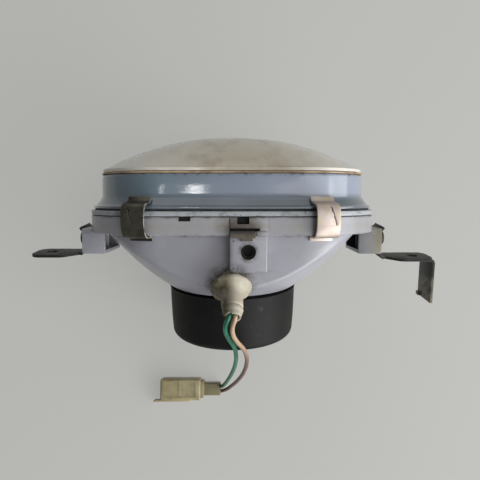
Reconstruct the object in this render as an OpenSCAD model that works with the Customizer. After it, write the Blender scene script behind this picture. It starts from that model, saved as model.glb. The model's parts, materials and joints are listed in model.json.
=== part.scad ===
// Scooter headlight with a rounded rectangular lens, lying on its upper side as it
// lies on a table: the underside faces up, the lens faces +Y and the bulb boot -Y.
// The lamp is drawn in its own axes: x across, y forward to the lens, z to the underside.
// The pose at the end of the Hidden section stands it on the clips and the boot's edge.

/* [Flange and rim] */
// Width of the flange where the rim meets the housing
flange_w = 163; // [154:1:172]
// Height of the flange
flange_h = 102; // [96:1:110]
// Corner radius of the flange outline
flange_r = 45; // [38:1:46]
// Thickness of the reflector's edge, seen as a light lip
lip_t = 2.6; // [2:0.1:4]
// Thickness of the gasket under the rim
gasket_t = 0.9; // [0.5:0.1:2]
// How far the gasket stays inside the flange outline
gasket_inset = 2; // [1:0.1:3]
// Height of the front rim above the gasket
rim_h = 18.6; // [15:0.2:24]
// How far the rim's wall stands inside the flange outline
rim_inset = 6; // [5:0.1:8]
// How far the rim's foot stands inside the flange outline
foot_inset = 1.4; // [1:0.1:3]
// Height of the rim's flared foot
flare_h = 6.5; // [4:0.1:8]
// Wall thickness of the rim
rim_wall = 2.5; // [2:0.1:3.5]

/* [Lens] */
// Height of the dome above the glass's square edge
dome_h = 19.6; // [16:0.2:26]
// Fullness of the dome, 2 is a parabola
dome_power = 2.3; // [2:0.1:3]
// Height of that square edge
edge_h = 1.8; // [1:0.1:3]
// How far the glass stays inside the rim's outer wall
edge_inset = 0.8; // [0.4:0.1:2]
// Thickness of the glass
glass_t = 3; // [2:0.1:4]
// Width of the sealant between the glass skirt and the rim
seal_w = 1; // [0.6:0.1:2]
// Height of the sealant bead above the rim
bead_h = 1; // [0.6:0.1:2]
// Depth of the glass skirt inside the rim
skirt_d = 4; // [2:0.1:8]

/* [Rear housing] */
// Wall thickness of the housing
shell_t = 2.5; // [2:0.1:3.5]
// Height of the housing's straight wall
wall_h = 9.5; // [8:0.1:11]
// Thickness of the shelf behind the straight wall
shelf_t = 2.2; // [1.5:0.1:3]
// How far the bowl stands inside the flange outline
bowl_inset = 6; // [5:0.1:7]
// Focal length of the bowl's paraboloid
bowl_focal = 29; // [26:0.5:32]
// Distance from the flange plane back to the bowl's vertex
bowl_depth = 56.3; // [52:0.1:60]
// Backward lean of the bulb axis
bulb_rake = 4.5; // [0:0.1:10]
// Height of the bulb axis where it crosses the flange plane
bulb_axis_z = 1; // [-4:0.1:4]

/* [Boot and bulb] */
// Radius of the boot where it meets the bowl
boot_r = 38.4; // [34:0.2:40]
// Radius of the boot at its closed end
boot_end_r = 36.9; // [33:0.1:40]
// Length of the boot
boot_len = 32.8; // [26:0.2:40]
// Wall thickness of the boot
boot_wall = 3; // [2:0.1:4]
// Edge radius of the boot's closed end
boot_edge_r = 4.5; // [1:0.1:6]
// Radius of the neck that the boot grips
neck_r = 33; // [28:0.2:35]
// Length of that neck
neck_len = 9; // [6:0.5:14]
// Radius of the main bulb's glass
bulb_r = 8.5; // [6:0.1:10]
// Length of the main bulb's glass in front of its flange
bulb_len = 40; // [30:1:44]
// Radius of the main bulb's metal cap
cap_r = 7.5; // [6:0.1:9]
// Length of that cap behind the bulb's flange
cap_len = 12; // [9:0.5:14]
// Radius of the bulb's locating flange
bulb_flange_r = 12.5; // [11:0.1:14]

/* [Clips] */
// Distance of each clip from the middle of the lamp
clip_x = 47.5; // [42:0.5:52]
// Width of the spring clips
clip_w = 12.4; // [10:0.2:18]
// Thickness of the clip's spring steel
clip_t = 1; // [0.8:0.05:1.4]
// How far the strap bulges beyond the flange
clip_bulge = 5; // [3.4:0.1:6]

/* [Ears and brackets] */
// How far the ears' outer faces stand beyond the flange
ear_out = 3.5; // [2:0.5:6]
// Thickness of an ear across the lamp
ear_w = 13; // [10:0.5:15]
// Distance from the flange plane back to the ears' rear faces
ear_back = 25; // [23:0.5:27]
// Height of the ears
ear_h = 34; // [28:0.5:38]
// Height of the pivot above the lamp's middle plane
pivot_z = 4; // [0:0.1:8]
// Distance from the flange plane back to the pivot
pivot_back = 17; // [15:0.1:19]
// Radius of the pivot screw's shank
pivot_r = 3; // [2:0.1:4]
// Running clearance around the pivot screw
pivot_clear = 0.08; // [0.03:0.01:0.1]
// Tilt of the brackets about the pivot as the lamp lies
bracket_tilt = 5; // [0:0.5:12]
// How far the right arm runs behind the pivot
right_drop = 12; // [9:0.5:14]
// How far the left arm runs behind the pivot
left_drop = 9.6; // [9:0.2:14]
// Thickness of the brackets' steel
bracket_t = 1.5; // [1:0.1:2]
// Distance from the ear's outer face to the end of each arm
arm_len = 34; // [26:1:44]
// Width of the arm at its outer end
arm_w = 20; // [16:0.5:24]
// Width of the arm beside the ear
arm_neck_w = 11; // [8:0.5:15]
// Radius of the hole in each arm
arm_hole_r = 3.2; // [2:0.1:4]
// Distance from the arm's end to its hole
arm_hole_in = 10; // [9:0.5:18]
// Length of the right arm's leg
leg_len = 26; // [16:0.5:32]

/* [Adjuster] */
// Width of the adjuster lug
lug_w = 19; // [16:0.1:21]
// Middle of the lug across the lamp
lug_x = 8.8; // [6:0.1:11]
// Distance from the flange plane back to the lug's rear face
lug_back = 31; // [28:0.1:33]
// Distance from the flange plane back to the lug's hole
lug_hole_back = 20.5; // [19:0.1:23]
// Height of the lug above the bowl
lug_rise = 7; // [5:0.1:9]
// Radius of the lug's hole
lug_hole_r = 3.85; // [3:0.05:4.5]
// Thread radius of the adjuster nut
nut_r = 2.6; // [2:0.05:3]
// Height of the adjuster nut
nut_h = 4; // [3:0.1:5]

/* [Parking lamp] */
// Angle of the holder back from the lamp's underside normal
holder_lean = 40; // [25:1:50]
// Radius of the holder's disc
holder_disc_r = 10.7; // [9:0.1:11.5]
// Radius of the holder's stem
holder_stem_r = 5.5; // [4.5:0.1:6.5]
// Length of the holder from its seat to its tip
holder_len = 19.5; // [16:0.1:24]

/* [Wires and connector] */
// Diameter of each wire's insulation
wire_d = 2.4; // [1.6:0.1:3]
// Length of the connector's body
conn_l = 27; // [20:0.5:32]
// Width of the connector's body
conn_w = 14; // [13:0.5:20]
// Height of the connector's body
conn_h = 11; // [8:0.5:14]
// Length of the connector's narrow rear part
conn_neck_l = 13.4; // [8:0.5:16]

/* [Hidden] */

seat = 0.3;            // small gap between seated pieces
joint_gap = 0.15;      // gap between pieces that are glued or pressed together
ring_n = 72;           // points around each lofted ring
dome_rings = 9;        // rings between the glass edge and its apex
fine = 96;
through = 60;          // length of the cuts that pass right through a piece
screw_bite = 3;        // how deep the pivot screws reach into the ears
screw_head_r = 4.5;
screw_head_h = 2.6;
washer_r = 4.8;
washer_t = 1;
lug_front = 12.2;      // from the flange plane back to the lug's front face
block_w = 5.5;         // raised block at the lug's front corner
block_d = 2.4;
notch_w = 6.1;         // notches in the housing wall's front edge
notch_x = [-26.4, 3.2];
notch_d = [2.2, 3.6];
arm_corner_r = 6;
strip_y = -11.3;       // the adjuster's steel strip
strip_t = 1.4;
strip_w = 12.6;
strip_in = 0.4;        // from the lug's left face to the strip
strip_deep = 3;        // how far the strip's slot starts above the bowl's outline

// Derived places across the lamp
ear_x = flange_w / 2 + ear_out;
arm_reach = ear_x + arm_len;

// Derived heights along the lamp's forward axis
rim_base_y = gasket_t;
rim_top_y = rim_base_y + rim_h;
glass_base_y = rim_top_y + bead_h + edge_h;
apex_y = glass_base_y + dome_h;
wall_top_y = -lip_t - seat;
wall_end_y = wall_top_y - wall_h;
rim_inner = -rim_inset - rim_wall;
glass_edge = -rim_inset - edge_inset;
skirt_out = rim_inner - seal_w;
bowl_face_z = flange_h / 2 - bowl_inset;
liner_inset = bowl_inset + shell_t + 1;
liner_t = 1.8;
liner_back = 8.2;      // from the bowl's outer face forward to the reflector's outer face
boss_r = holder_disc_r - 2.5;
boot_front_y = -bowl_depth + boot_r * boot_r / (4 * bowl_focal);
ledge_y = boot_front_y + 0.5;
neck_end_y = boot_front_y - neck_len;
boot_end_y = boot_front_y - boot_len;
corner_x = flange_w / 2 - flange_r;
corner_z = flange_h / 2 - flange_r;
clip_angle = asin((clip_x - corner_x) / flange_r);

// Clip profile: u is outward from the flange outline, v is forward
lip_v = wall_end_y - seat - clip_t / 2;
clip_line = [[-rim_inset + 1.4, flare_h + 0.7], [-rim_inset + 2.7, flare_h - 1.9],
    [clip_bulge - 1.6, flare_h - 3.2], [clip_bulge - 0.4, 0], [clip_bulge, -4.5],
    [clip_bulge - 0.7, -9.5], [clip_bulge - 2.6, lip_v], [-bowl_inset + 1.1, lip_v],
    [-bowl_inset + 0.8, lip_v - 2.2]];

function normal_at(line, i) =
    let (a = line[max(i - 1, 0)], b = line[min(i + 1, len(line) - 1)], d = b - a)
    [d.y, -d.x] / norm(d);
function strip_side(line, w) = [for (i = [0:len(line) - 1]) line[i] + w * normal_at(line, i)];
function strip_outline(line, t) =
    let (back = strip_side(line, -t / 2))
    concat(strip_side(line, t / 2), [for (i = [len(back) - 1:-1:0]) back[i]]);

// How the lamp rests: the line under the upper clips and the boot's closed end
clip_low = [for (p = strip_outline(clip_line, clip_t))
    [p.y, -(corner_z + (flange_r + p.x) * cos(clip_angle) + clip_w / 2 * sin(clip_angle))]];
boot_low = [for (a = [0:15:90])
    let (y = boot_end_y + boot_edge_r * (1 - cos(a)), r = boot_end_r - boot_edge_r * (1 - sin(a)))
    [y * cos(bulb_rake) + r * sin(bulb_rake),
     bulb_axis_z + y * sin(bulb_rake) - r * cos(bulb_rake)]];
rest_tilt = atan(max([for (p = clip_low)
    min([for (b = boot_low) (b.y - p.y) / (p.x - b.x)])]));
lamp_z = -min([for (p = clip_low) p.x * sin(rest_tilt) + p.y * cos(rest_tilt)]);
glass_half_h = flange_h / 2 + glass_edge;
function dome_fall(k) = 1 - pow(k, dome_power);
front_y = max([for (k = [0:0.05:1]) cos(rest_tilt) * (glass_base_y + dome_h * dome_fall(k))
    + sin(rest_tilt) * glass_half_h * k]);
rear_y = min([for (a = [0:15:90])
    (boot_end_y + boot_edge_r * (1 - cos(a))) * cos(rest_tilt + bulb_rake)
    - (boot_end_r - boot_edge_r * (1 - sin(a))) * sin(rest_tilt + bulb_rake)])
    - bulb_axis_z * sin(rest_tilt);
lamp_y = -(front_y + rear_y) / 2;

// Wire routes from the parking lamp holder to the connector, in the resting frame
green_route = [[0, -41.6, 104.2], [-0.9, -44, 105.2], [-2.2, -47, 103.4], [-2.7, -50.6, 98.6],
    [-1.3, -54.8, 91.4], [1.2, -59.2, 84], [2.4, -64.6, 73], [2, -70.6, 60], [0.2, -77, 46],
    [-2.9, -83.8, 31], [-5.8, -88.8, 17.6], [-7.8, -91, 9.6], [-10.6, -91.6, 6], [-14, -91.6, 5.4],
    [-19, -91.6, 5.4]];
brown_route = [[2.4, -41.6, 104.2], [2.2, -44.6, 105.2], [1, -48.4, 102.4], [0.9, -51.8, 98],
    [2.8, -56.3, 91], [6.3, -60.6, 84], [8.2, -65.7, 73], [8.2, -71.7, 60], [6.5, -77.8, 47],
    [3.5, -83.6, 33], [-0.6, -89, 20], [-4.6, -92.8, 11.4], [-7.8, -94.4, 7.2], [-11, -94.8, 5.6],
    [-14.6, -94.8, 5.4], [-19, -94.8, 5.4]];
conn_x = -8.4;
conn_y = -93.2;
wire_h = 5.4;

// Outline and loft helpers
function polar_reach(a, w2, h2, r) =
    let (c = abs(cos(a)), s = abs(sin(a)), cx = w2 - r, cz = h2 - r,
        top = h2 / max(s, 0.0001), side = w2 / max(c, 0.0001), b = cx * c + cz * s)
    c * top <= cx ? top
    : s * side <= cz ? side
    : b + sqrt(b * b - cx * cx - cz * cz + r * r);
// One ring of the flange outline grown by g at height y, drawn in towards an ellipse by k < 1
function ring(g, y, k = 1) =
    let (w2 = flange_w / 2 + g, h2 = flange_h / 2 + g, r = flange_r + g)
    [for (i = [0:ring_n - 1])
        let (q = 360 * i / ring_n, ex = w2 * cos(q), ez = h2 * sin(q), a = atan2(ez, ex),
            e = norm([ex, ez]), reach = k * (e + (polar_reach(a, w2, h2, r) - e) * k * k))
        [reach * cos(a), y, reach * sin(a)]];

function flat(lists) = [for (l = lists) for (p = l) p];
function skin(first, second, n) = flat([for (j = [0:n - 1])
    let (k = (j + 1) % n) [[first + j, second + j, second + k], [first + j, second + k, first + k]]]);

// A closed hoop: rings run round its section and the last joins the first
module hoop(rings) {
    n = len(rings[0]);
    m = len(rings);
    polyhedron(flat(rings), flat([for (i = [0:m - 1]) skin(i * n, ((i + 1) % m) * n, n)]),
        convexity = 8);
}

// A closed cap: rings run from one middle point out, round the edge and in to the other
module capped(first, rings, last) {
    n = len(rings[0]);
    m = len(rings);
    points = concat(flat(rings), [first, last]);
    polyhedron(points, concat(
        [for (j = [0:n - 1]) [m * n, j, (j + 1) % n]],
        flat([for (i = [0:m - 2]) skin(i * n, (i + 1) * n, n)]),
        [for (j = [0:n - 1]) [m * n + 1, (m - 1) * n + (j + 1) % n, (m - 1) * n + j]]),
        convexity = 8);
}

module outline(grow) {
    w = flange_w + 2 * grow;
    h = flange_h + 2 * grow;
    r = flange_r + grow;
    square([w - 2 * r, h], center = true);
    square([w, h - 2 * r], center = true);
    for (sx = [-1, 1], sy = [-1, 1])
        translate([sx * (w / 2 - r), sy * (h / 2 - r)]) circle(r, $fn = fine);
}

// A prism of the flange outline from y = from back to y = to
module slab(from, to, grow) {
    translate([0, from, 0]) rotate([90, 0, 0]) linear_extrude(height = from - to) outline(grow);
}

// Turns a profile of [radius, y] points about the bulb axis
module about_bulb_axis() {
    translate([0, 0, bulb_axis_z]) rotate([bulb_rake, 0, 0]) rotate([-90, 0, 0])
        rotate_extrude($fn = fine) children();
}

module in_lamp() {
    translate([0, lamp_y, lamp_z]) rotate([rest_tilt, 0, 0]) children();
}

module on_pivot() {
    in_lamp() translate([0, -pivot_back, pivot_z]) rotate([bracket_tilt, 0, 0]) children();
}

function bowl_curve(shift, r0, r1) = [for (i = [0:12])
    let (r = r0 + (r1 - r0) * i / 12) [r, -bowl_depth + shift + r * r / (4 * bowl_focal)]];

// The filled paraboloid, moved forward by shift
module bowl_solid(shift, reach = 92) {
    about_bulb_axis() polygon(concat([[0, 20]], bowl_curve(shift, 0, reach), [[reach, 20]]));
}

module lens_glass() {
    inner = skirt_out - glass_t;
    under = glass_base_y - edge_h / 2;
    color([0.86, 0.82, 0.72, 0.5]) in_lamp() capped([0, apex_y, 0],
        concat([for (i = [1:dome_rings]) let (k = i / dome_rings)
                ring(glass_edge, glass_base_y + dome_h * dome_fall(k), k)],
            [ring(glass_edge, rim_top_y + bead_h), ring(skirt_out, rim_top_y + bead_h),
             ring(skirt_out, rim_top_y - skirt_d), ring(inner, rim_top_y - skirt_d)],
            [for (i = [dome_rings:-1:1]) let (k = i / dome_rings)
                ring(inner, under + (apex_y - glass_t - under) * dome_fall(k), k)]),
        [0, apex_y - glass_t, 0]);
}

module lens_sealant() {
    low = rim_top_y - skirt_d + 1;
    top = rim_top_y + bead_h - joint_gap;
    color([0.42, 0.32, 0.22]) in_lamp() hoop([
        ring(skirt_out + joint_gap, low), ring(skirt_out + joint_gap, top),
        ring(glass_edge - joint_gap, top), ring(glass_edge + joint_gap, rim_top_y + joint_gap),
        ring(rim_inner - joint_gap, rim_top_y + joint_gap), ring(rim_inner - joint_gap, low)]);
}

module front_rim() {
    flare = [for (i = [0:5]) let (k = i / 5)
        [-foot_inset - (rim_inset - foot_inset) * k, 1.4 + (flare_h - 1.4) * pow(k, 1.8)]];
    color([0.47, 0.55, 0.62]) in_lamp() hoop(concat(
        [ring(-foot_inset, rim_base_y)],
        [for (p = flare) ring(p.x, rim_base_y + p.y)],
        [ring(-rim_inset, rim_top_y - 0.8), ring(-rim_inset - 0.6, rim_top_y),
         ring(rim_inner, rim_top_y), ring(rim_inner, rim_base_y)]));
}

module rim_gasket() {
    color([0.12, 0.12, 0.13]) in_lamp() difference() {
        slab(gasket_t - joint_gap, joint_gap, -gasket_inset);
        slab(gasket_t + 1, -1, rim_inner);
    }
}

module reflector() {
    color([0.75, 0.75, 0.74]) in_lamp() {
        difference() {
            slab(0, -lip_t, 0);
            slab(1, -lip_t - 1, -liner_inset - liner_t);
        }
        difference() {
            intersection() {
                slab(-lip_t / 2, -bowl_depth - 10, -liner_inset);
                bowl_solid(liner_back);
            }
            intersection() {
                slab(1, -bowl_depth - 10, -liner_inset - liner_t);
                bowl_solid(liner_back + liner_t);
            }
            about_bulb_axis() translate([0, -bowl_depth - 1])
                square([bulb_flange_r - 2, bowl_depth / 2]);
            at_holder() translate([0, 0, -through / 2])
                cylinder(r = boss_r + seat, h = through / 2, $fn = 64);
        }
    }
}

// One ear: a box with two pockets facing the middle, and the pivot screw's hole
module ear(side) {
    low = pivot_z - ear_h / 2;
    rib = 2;
    plate = 5;
    pocket_h = (ear_h - 3 * rib) / 2;
    mirror([side < 0 ? 1 : 0, 0, 0]) difference() {
        translate([ear_x - ear_w, -ear_back, low])
            cube([ear_w, ear_back + wall_end_y + rib, ear_h]);
        for (k = [0, 1])
            translate([ear_x - ear_w - 1, -ear_back + rib, low + rib + k * (pocket_h + rib)])
                cube([ear_w - plate + 1, ear_back + wall_end_y - 2 * rib, pocket_h]);
        translate([ear_x - screw_bite - seat, -pivot_back, pivot_z]) rotate([0, 90, 0])
            cylinder(r = pivot_r + joint_gap, h = screw_bite + 1, $fn = 48);
    }
}

holder_seat = [0, -38.6, bowl_face_z + 3.6];

module at_holder() {
    translate(holder_seat) rotate([holder_lean, 5, 0]) children();
}

module lug() {
    h = lug_back - lug_front;
    left = lug_x - lug_w / 2;
    translate([left, -lug_back, bowl_face_z - 1]) cube([lug_w, h, lug_rise + 1]);
    translate([left + lug_w - block_w, -lug_front - joint_gap, bowl_face_z - 1])
        cube([block_w, block_d, lug_rise + 1]);
    translate([left, wall_end_y + 0.2, bowl_face_z])
        cube([lug_w, wall_top_y - wall_end_y - 0.4, bowl_inset + 0.5]);
}

module rear_housing() {
    color([0.68, 0.69, 0.73]) in_lamp() difference() {
        union() {
            difference() {
                slab(wall_top_y, wall_end_y, 0);
                slab(wall_top_y + 1, wall_end_y + shelf_t, -shell_t);
                slab(wall_end_y + shelf_t + 1, wall_end_y - 1, -bowl_inset - shell_t);
            }
            difference() {
                intersection() {
                    slab(wall_end_y + shelf_t / 2, -bowl_depth - 10, -bowl_inset);
                    bowl_solid(0);
                }
                intersection() {
                    slab(wall_end_y + shelf_t, -bowl_depth - 10, -bowl_inset - shell_t);
                    bowl_solid(shell_t + 0.4);
                }
                about_bulb_axis() translate([0, -bowl_depth - 1])
                    square([boot_r + 2, ledge_y + bowl_depth + 1]);
                about_bulb_axis() translate([0, -bowl_depth - 1])
                    square([neck_r - shell_t, bowl_depth / 2]);
            }
            about_bulb_axis() polygon([[neck_r - shell_t, neck_end_y], [neck_r, neck_end_y],
                [neck_r, ledge_y], [boot_r - 1, ledge_y], [boot_r - 1, ledge_y + shell_t],
                [neck_r - shell_t, ledge_y + shell_t]]);
            for (side = [-1, 1]) ear(side);
            lug();
            at_holder() translate([0, 0, -7]) cylinder(r = boss_r, h = 7, $fn = 64);
        }
        // notches in the wall's front edge
        for (k = [0, 1])
            translate([notch_x[k], wall_top_y - notch_d[k], flange_h / 2 - 2])
                cube([notch_w, notch_d[k] + 1, 4]);
        // slot for the adjuster's steel strip
        translate([lug_x - lug_w / 2 - joint_gap, strip_y - joint_gap,
            bowl_face_z + strip_deep - joint_gap])
            cube([strip_w + strip_in + 2 * joint_gap, strip_t + 2 * joint_gap, 10]);
        // adjuster hole
        translate([lug_x, -lug_hole_back, bowl_face_z]) cylinder(r = lug_hole_r, h = 20, $fn = 64);
        // bore for the parking lamp holder, and the room behind it
        at_holder() translate([0, 0, -14]) cylinder(r = holder_stem_r + 0.5, h = 16, $fn = 64);
    }
}

// A spring clip on the flange: across is -1 left or 1 right, under is 1 at the underside
slit_x = [-1.2, 2.6];
module clip(across, under) {
    tone = under > 0 && across > 0 ? [0.82, 0.78, 0.66] : [0.42, 0.41, 0.37];
    color(tone) in_lamp()
    translate([across * corner_x, 0, under * corner_z])
    rotate([0, under > 0 ? across * clip_angle : 180 - across * clip_angle, 0])
    translate([0, 0, flange_r]) difference() {
        rotate([90, 0, 90]) translate([0, 0, -clip_w / 2]) linear_extrude(height = clip_w)
            polygon([for (p = strip_outline(clip_line, clip_t)) [p.y, p.x]]);
        translate([slit_x[across * under > 0 ? 1 : 0], -2.2, clip_bulge - 0.4])
            rotate([0, 0, 16]) cube([0.8, 9.6, 4], center = true);
    }
}
module clip_lower_left() clip(-1, 1);
module clip_lower_right() clip(1, 1);
module clip_upper_left() clip(-1, -1);
module clip_upper_right() clip(1, -1);

// Plan line of a bracket: x is out from the middle, y is forward of the pivot
plate_x = ear_x + seat + bracket_t / 2;
hook_y = 7.2;
function arm_line(drop) = [[plate_x + 2.6, hook_y], [plate_x + 1.4, hook_y - 1.4],
    [plate_x, hook_y - 2.2],
    [plate_x, -drop + 4.6], [plate_x + 0.6, -drop + 2.6], [plate_x + 2.6, -drop + 1],
    [plate_x + 13, -drop], [arm_reach + 1, -drop]];

module bracket_face() {
    half = arm_w / 2;
    plate_h = 8.5;
    upper = concat([[ear_x - 1, plate_h], [plate_x + 3, plate_h],
        [plate_x + 4, arm_neck_w / 2], [plate_x + 14, half]],
        [for (a = [0:15:90]) [arm_reach - arm_corner_r * (1 - sin(a)),
            half - arm_corner_r * (1 - cos(a))]]);
    polygon(concat(upper, [for (i = [len(upper) - 1:-1:0]) [upper[i].x, -upper[i].y]]));
}

module bracket_body(drop, legged) {
    difference() {
        union() {
            intersection() {
                linear_extrude(height = through, center = true)
                    polygon(strip_outline(arm_line(drop), bracket_t));
                rotate([90, 0, 0]) linear_extrude(height = through, center = true)
                    bracket_face();
            }
            if (legged) {
                translate([arm_reach - bracket_t, -drop - bracket_t / 2 - leg_len, -arm_w / 2])
                    cube([bracket_t, leg_len + bracket_t, arm_w]);
                translate([arm_reach - 8, -drop - bracket_t / 2, -arm_w / 2])
                    cube([8, bracket_t, arm_w]);
            }
        }
        translate([arm_reach - arm_hole_in, -drop + 5, 0]) rotate([90, 0, 0])
            cylinder(r = arm_hole_r, h = 10, $fn = 48);
        translate([ear_x - 1, 0, 0]) rotate([0, 90, 0])
            cylinder(r = pivot_r + pivot_clear, h = 5, $fn = 48);
    }
}
module left_bracket() {
    color([0.20, 0.20, 0.17]) on_pivot() mirror([1, 0, 0]) bracket_body(left_drop, false);
}
module right_bracket() {
    color([0.20, 0.20, 0.17]) on_pivot() bracket_body(right_drop, true);
}

head_x = ear_x + seat + bracket_t + washer_t + 0.2;

module pivot_screw(side) {
    color([0.30, 0.29, 0.25]) in_lamp() translate([0, -pivot_back, pivot_z])
        rotate([0, side * 90, 0]) rotate_extrude($fn = 48)
        polygon([[0, ear_x - screw_bite], [pivot_r, ear_x - screw_bite], [pivot_r, head_x],
            [screw_head_r, head_x], [screw_head_r, head_x + screw_head_h - 1.6],
            [screw_head_r - 1, head_x + screw_head_h - 0.5], [0, head_x + screw_head_h]]);
}
module left_pivot_screw() pivot_screw(-1);
module right_pivot_screw() pivot_screw(1);

module pivot_washer(side) {
    low = ear_x + seat + bracket_t + 0.1;
    color([0.45, 0.44, 0.40]) in_lamp() translate([0, -pivot_back, pivot_z])
        rotate([0, side * 90, 0]) translate([0, 0, low]) difference() {
            cylinder(r = washer_r, h = washer_t, $fn = 48);
            translate([0, 0, -1]) cylinder(r = pivot_r + pivot_clear, h = washer_t + 2, $fn = 48);
        }
}
module left_pivot_washer() pivot_washer(-1);
module right_pivot_washer() pivot_washer(1);

module adjuster_nut() {
    color([0.25, 0.23, 0.21]) in_lamp() translate([lug_x, -lug_hole_back, bowl_face_z])
        difference() {
            cylinder(r = lug_hole_r - joint_gap, h = nut_h, $fn = 64);
            translate([0, 0, -1]) cylinder(r = nut_r, h = nut_h + 2, $fn = 48);
        }
}

module adjuster_strip() {
    top = bowl_face_z + lug_rise + joint_gap;
    left = lug_x - lug_w / 2 + strip_in;
    color([0.28, 0.20, 0.14]) in_lamp() {
        translate([left, strip_y, bowl_face_z + strip_deep])
            cube([strip_w, strip_t, lug_rise - strip_deep + 1]);
        translate([left, strip_y - 2, top]) cube([strip_w, 2 + strip_t, strip_t - 0.4]);
        translate([left + strip_w * 0.4, strip_y - 3.6, top]) cube([6.2, 2, strip_t - 0.4]);
    }
}

module bulb_boot() {
    edge = [for (a = [0:15:90])
        [boot_end_r - boot_edge_r * (1 - sin(a)), boot_end_y + boot_edge_r * (1 - cos(a))]];
    inner_end = boot_end_y + boot_wall;
    color([0.13, 0.12, 0.13]) in_lamp() about_bulb_axis() polygon(concat(
        [[0, boot_end_y]], edge,
        [[boot_r, boot_front_y - 0.8], [boot_r - 0.8, boot_front_y],
         [neck_r + joint_gap, boot_front_y], [neck_r + joint_gap, neck_end_y - joint_gap],
         [neck_r - shell_t, neck_end_y - joint_gap],
         [boot_end_r - boot_wall - 2, neck_end_y - 3],
         [boot_end_r - boot_wall - 2, inner_end], [0, inner_end]]));
}

// Places children about the bulb axis: y runs forward along it
module at_bulb() {
    in_lamp() translate([0, 0, bulb_axis_z]) rotate([bulb_rake, 0, 0]) children();
}

// Turns a profile of [radius, y] points about the bulb axis of the resting lamp
module bulb_turning(profile) {
    in_lamp() about_bulb_axis() polygon(profile);
}

// Stations along the bulb axis, from the reflector's rear hole backwards
hole_y = -bowl_depth + liner_back + pow(bulb_flange_r - 2, 2) / (4 * bowl_focal);
ring_y = hole_y - 1.4;
flange_y = ring_y - 1 - seat;
cap_end_y = flange_y - cap_len;

module bulb_seat_ring() {
    r = bulb_flange_r - 1.6;
    color([0.62, 0.62, 0.60]) bulb_turning([[r, ring_y - 1], [r + 5.5, ring_y - 1],
        [r + 5.5, ring_y], [r + 1.2, ring_y], [r + 1.2, hole_y - 0.2], [r, hole_y - 0.2]]);
}

module main_bulb_flange() {
    color([0.70, 0.68, 0.62]) bulb_turning([[cap_r + joint_gap, flange_y - 0.9],
        [bulb_flange_r, flange_y - 0.9], [bulb_flange_r, flange_y], [cap_r + joint_gap, flange_y]]);
}

module bulb_retaining_spring() {
    wire_r = 0.7;
    color([0.66, 0.66, 0.64]) in_lamp() about_bulb_axis()
        translate([bulb_flange_r - 2, flange_y - 0.9 - seat - wire_r]) circle(wire_r, $fn = 24);
}

module main_bulb_cap() {
    front = hole_y + 2;
    color([0.76, 0.72, 0.60]) bulb_turning([[0, cap_end_y], [cap_r - 1, cap_end_y],
        [cap_r, cap_end_y + 1], [cap_r, front], [0, front]]);
}

module main_bulb_glass() {
    low = hole_y + 2 + joint_gap;
    top = low + bulb_len;
    neck = bulb_len / 10;
    wall = 0.8;
    color([0.9, 0.9, 0.88, 0.5]) bulb_turning(concat(
        [[cap_r - wall, low], [cap_r, low], [bulb_r, low + neck]],
        [for (a = [0:15:90]) [bulb_r * cos(a), top - bulb_r + bulb_r * sin(a)]],
        [for (a = [90:-15:0])
            [(bulb_r - wall) * cos(a), top - bulb_r + (bulb_r - wall) * sin(a)]],
        [[bulb_r - wall, low + neck]]));
}

module main_bulb_filaments() {
    low = hole_y + 2 + joint_gap;
    post = bulb_len - 18;
    color([0.55, 0.52, 0.48]) at_bulb() {
        for (s = [-1, 1])
            translate([s * 3, low, 0]) rotate([-90, 0, 0]) cylinder(r = 0.5, h = post, $fn = 24);
        translate([-3, low + post - 1, 0]) rotate([0, 90, 0]) cylinder(r = 0.7, h = 6, $fn = 24);
        translate([-3, low + post - 8, 0]) rotate([0, 90, 0]) cylinder(r = 0.7, h = 6, $fn = 24);
    }
}

module main_bulb_insulator() {
    color([0.16, 0.13, 0.12]) bulb_turning([[0, cap_end_y - 2], [cap_r - 1.4, cap_end_y - 2],
        [cap_r - 1.4, cap_end_y - joint_gap], [0, cap_end_y - joint_gap]]);
}

module main_bulb_contacts() {
    color([0.78, 0.76, 0.70]) at_bulb() for (s = [-1, 1])
        translate([s * 3, cap_end_y - 2 - joint_gap, 0]) rotate([90, 0, 0])
            cylinder(r = 1.6, h = 1.2, $fn = 32);
}

// Places children on the parking lamp holder: z runs out along its stem
module on_holder() {
    in_lamp() at_holder() children();
}

holder_bore_r = holder_stem_r - 1.6;
socket_in = 9;
cap_in = 9;

module parking_lamp_holder() {
    tip = holder_len;
    color([0.84, 0.82, 0.74]) on_holder() difference() {
        rotate_extrude($fn = 64) polygon([[0, -6], [holder_stem_r, -6], [holder_stem_r, 0.2],
            [holder_disc_r - 0.5, 0.2], [holder_disc_r, 0.8], [holder_disc_r - 0.2, 2.2],
            [holder_disc_r - 2, 3.4], [holder_stem_r + 1.4, 5.2], [holder_stem_r, 7.5],
            [holder_stem_r - 0.1, tip - 6], [holder_stem_r - 0.9, tip - 5.2],
            [holder_stem_r - 0.2, tip - 4.2], [holder_stem_r - 0.4, tip - 3],
            [holder_stem_r - 1.4, tip - 2], [holder_stem_r - 1.6, tip], [0, tip]]);
        translate([0, 0, -7]) cylinder(r = holder_bore_r, h = 7 + socket_in, $fn = 48);
        translate([-holder_stem_r, -0.4, tip - 2.2]) cube([2 * holder_stem_r, 0.8, 3]);
    }
}

module parking_socket_shell() {
    color([0.70, 0.68, 0.60]) on_holder() difference() {
        translate([0, 0, seat - cap_in])
            cylinder(r = holder_bore_r - joint_gap, h = cap_in + socket_in - 2, $fn = 48);
        translate([0, 0, -cap_in - 1])
            cylinder(r = holder_bore_r - 0.6, h = cap_in + socket_in - 2, $fn = 48);
    }
}

module parking_bulb_cap() {
    color([0.78, 0.74, 0.62]) on_holder()
        translate([0, 0, -cap_in]) cylinder(r = holder_bore_r - 0.8, h = 10, $fn = 48);
}

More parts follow.
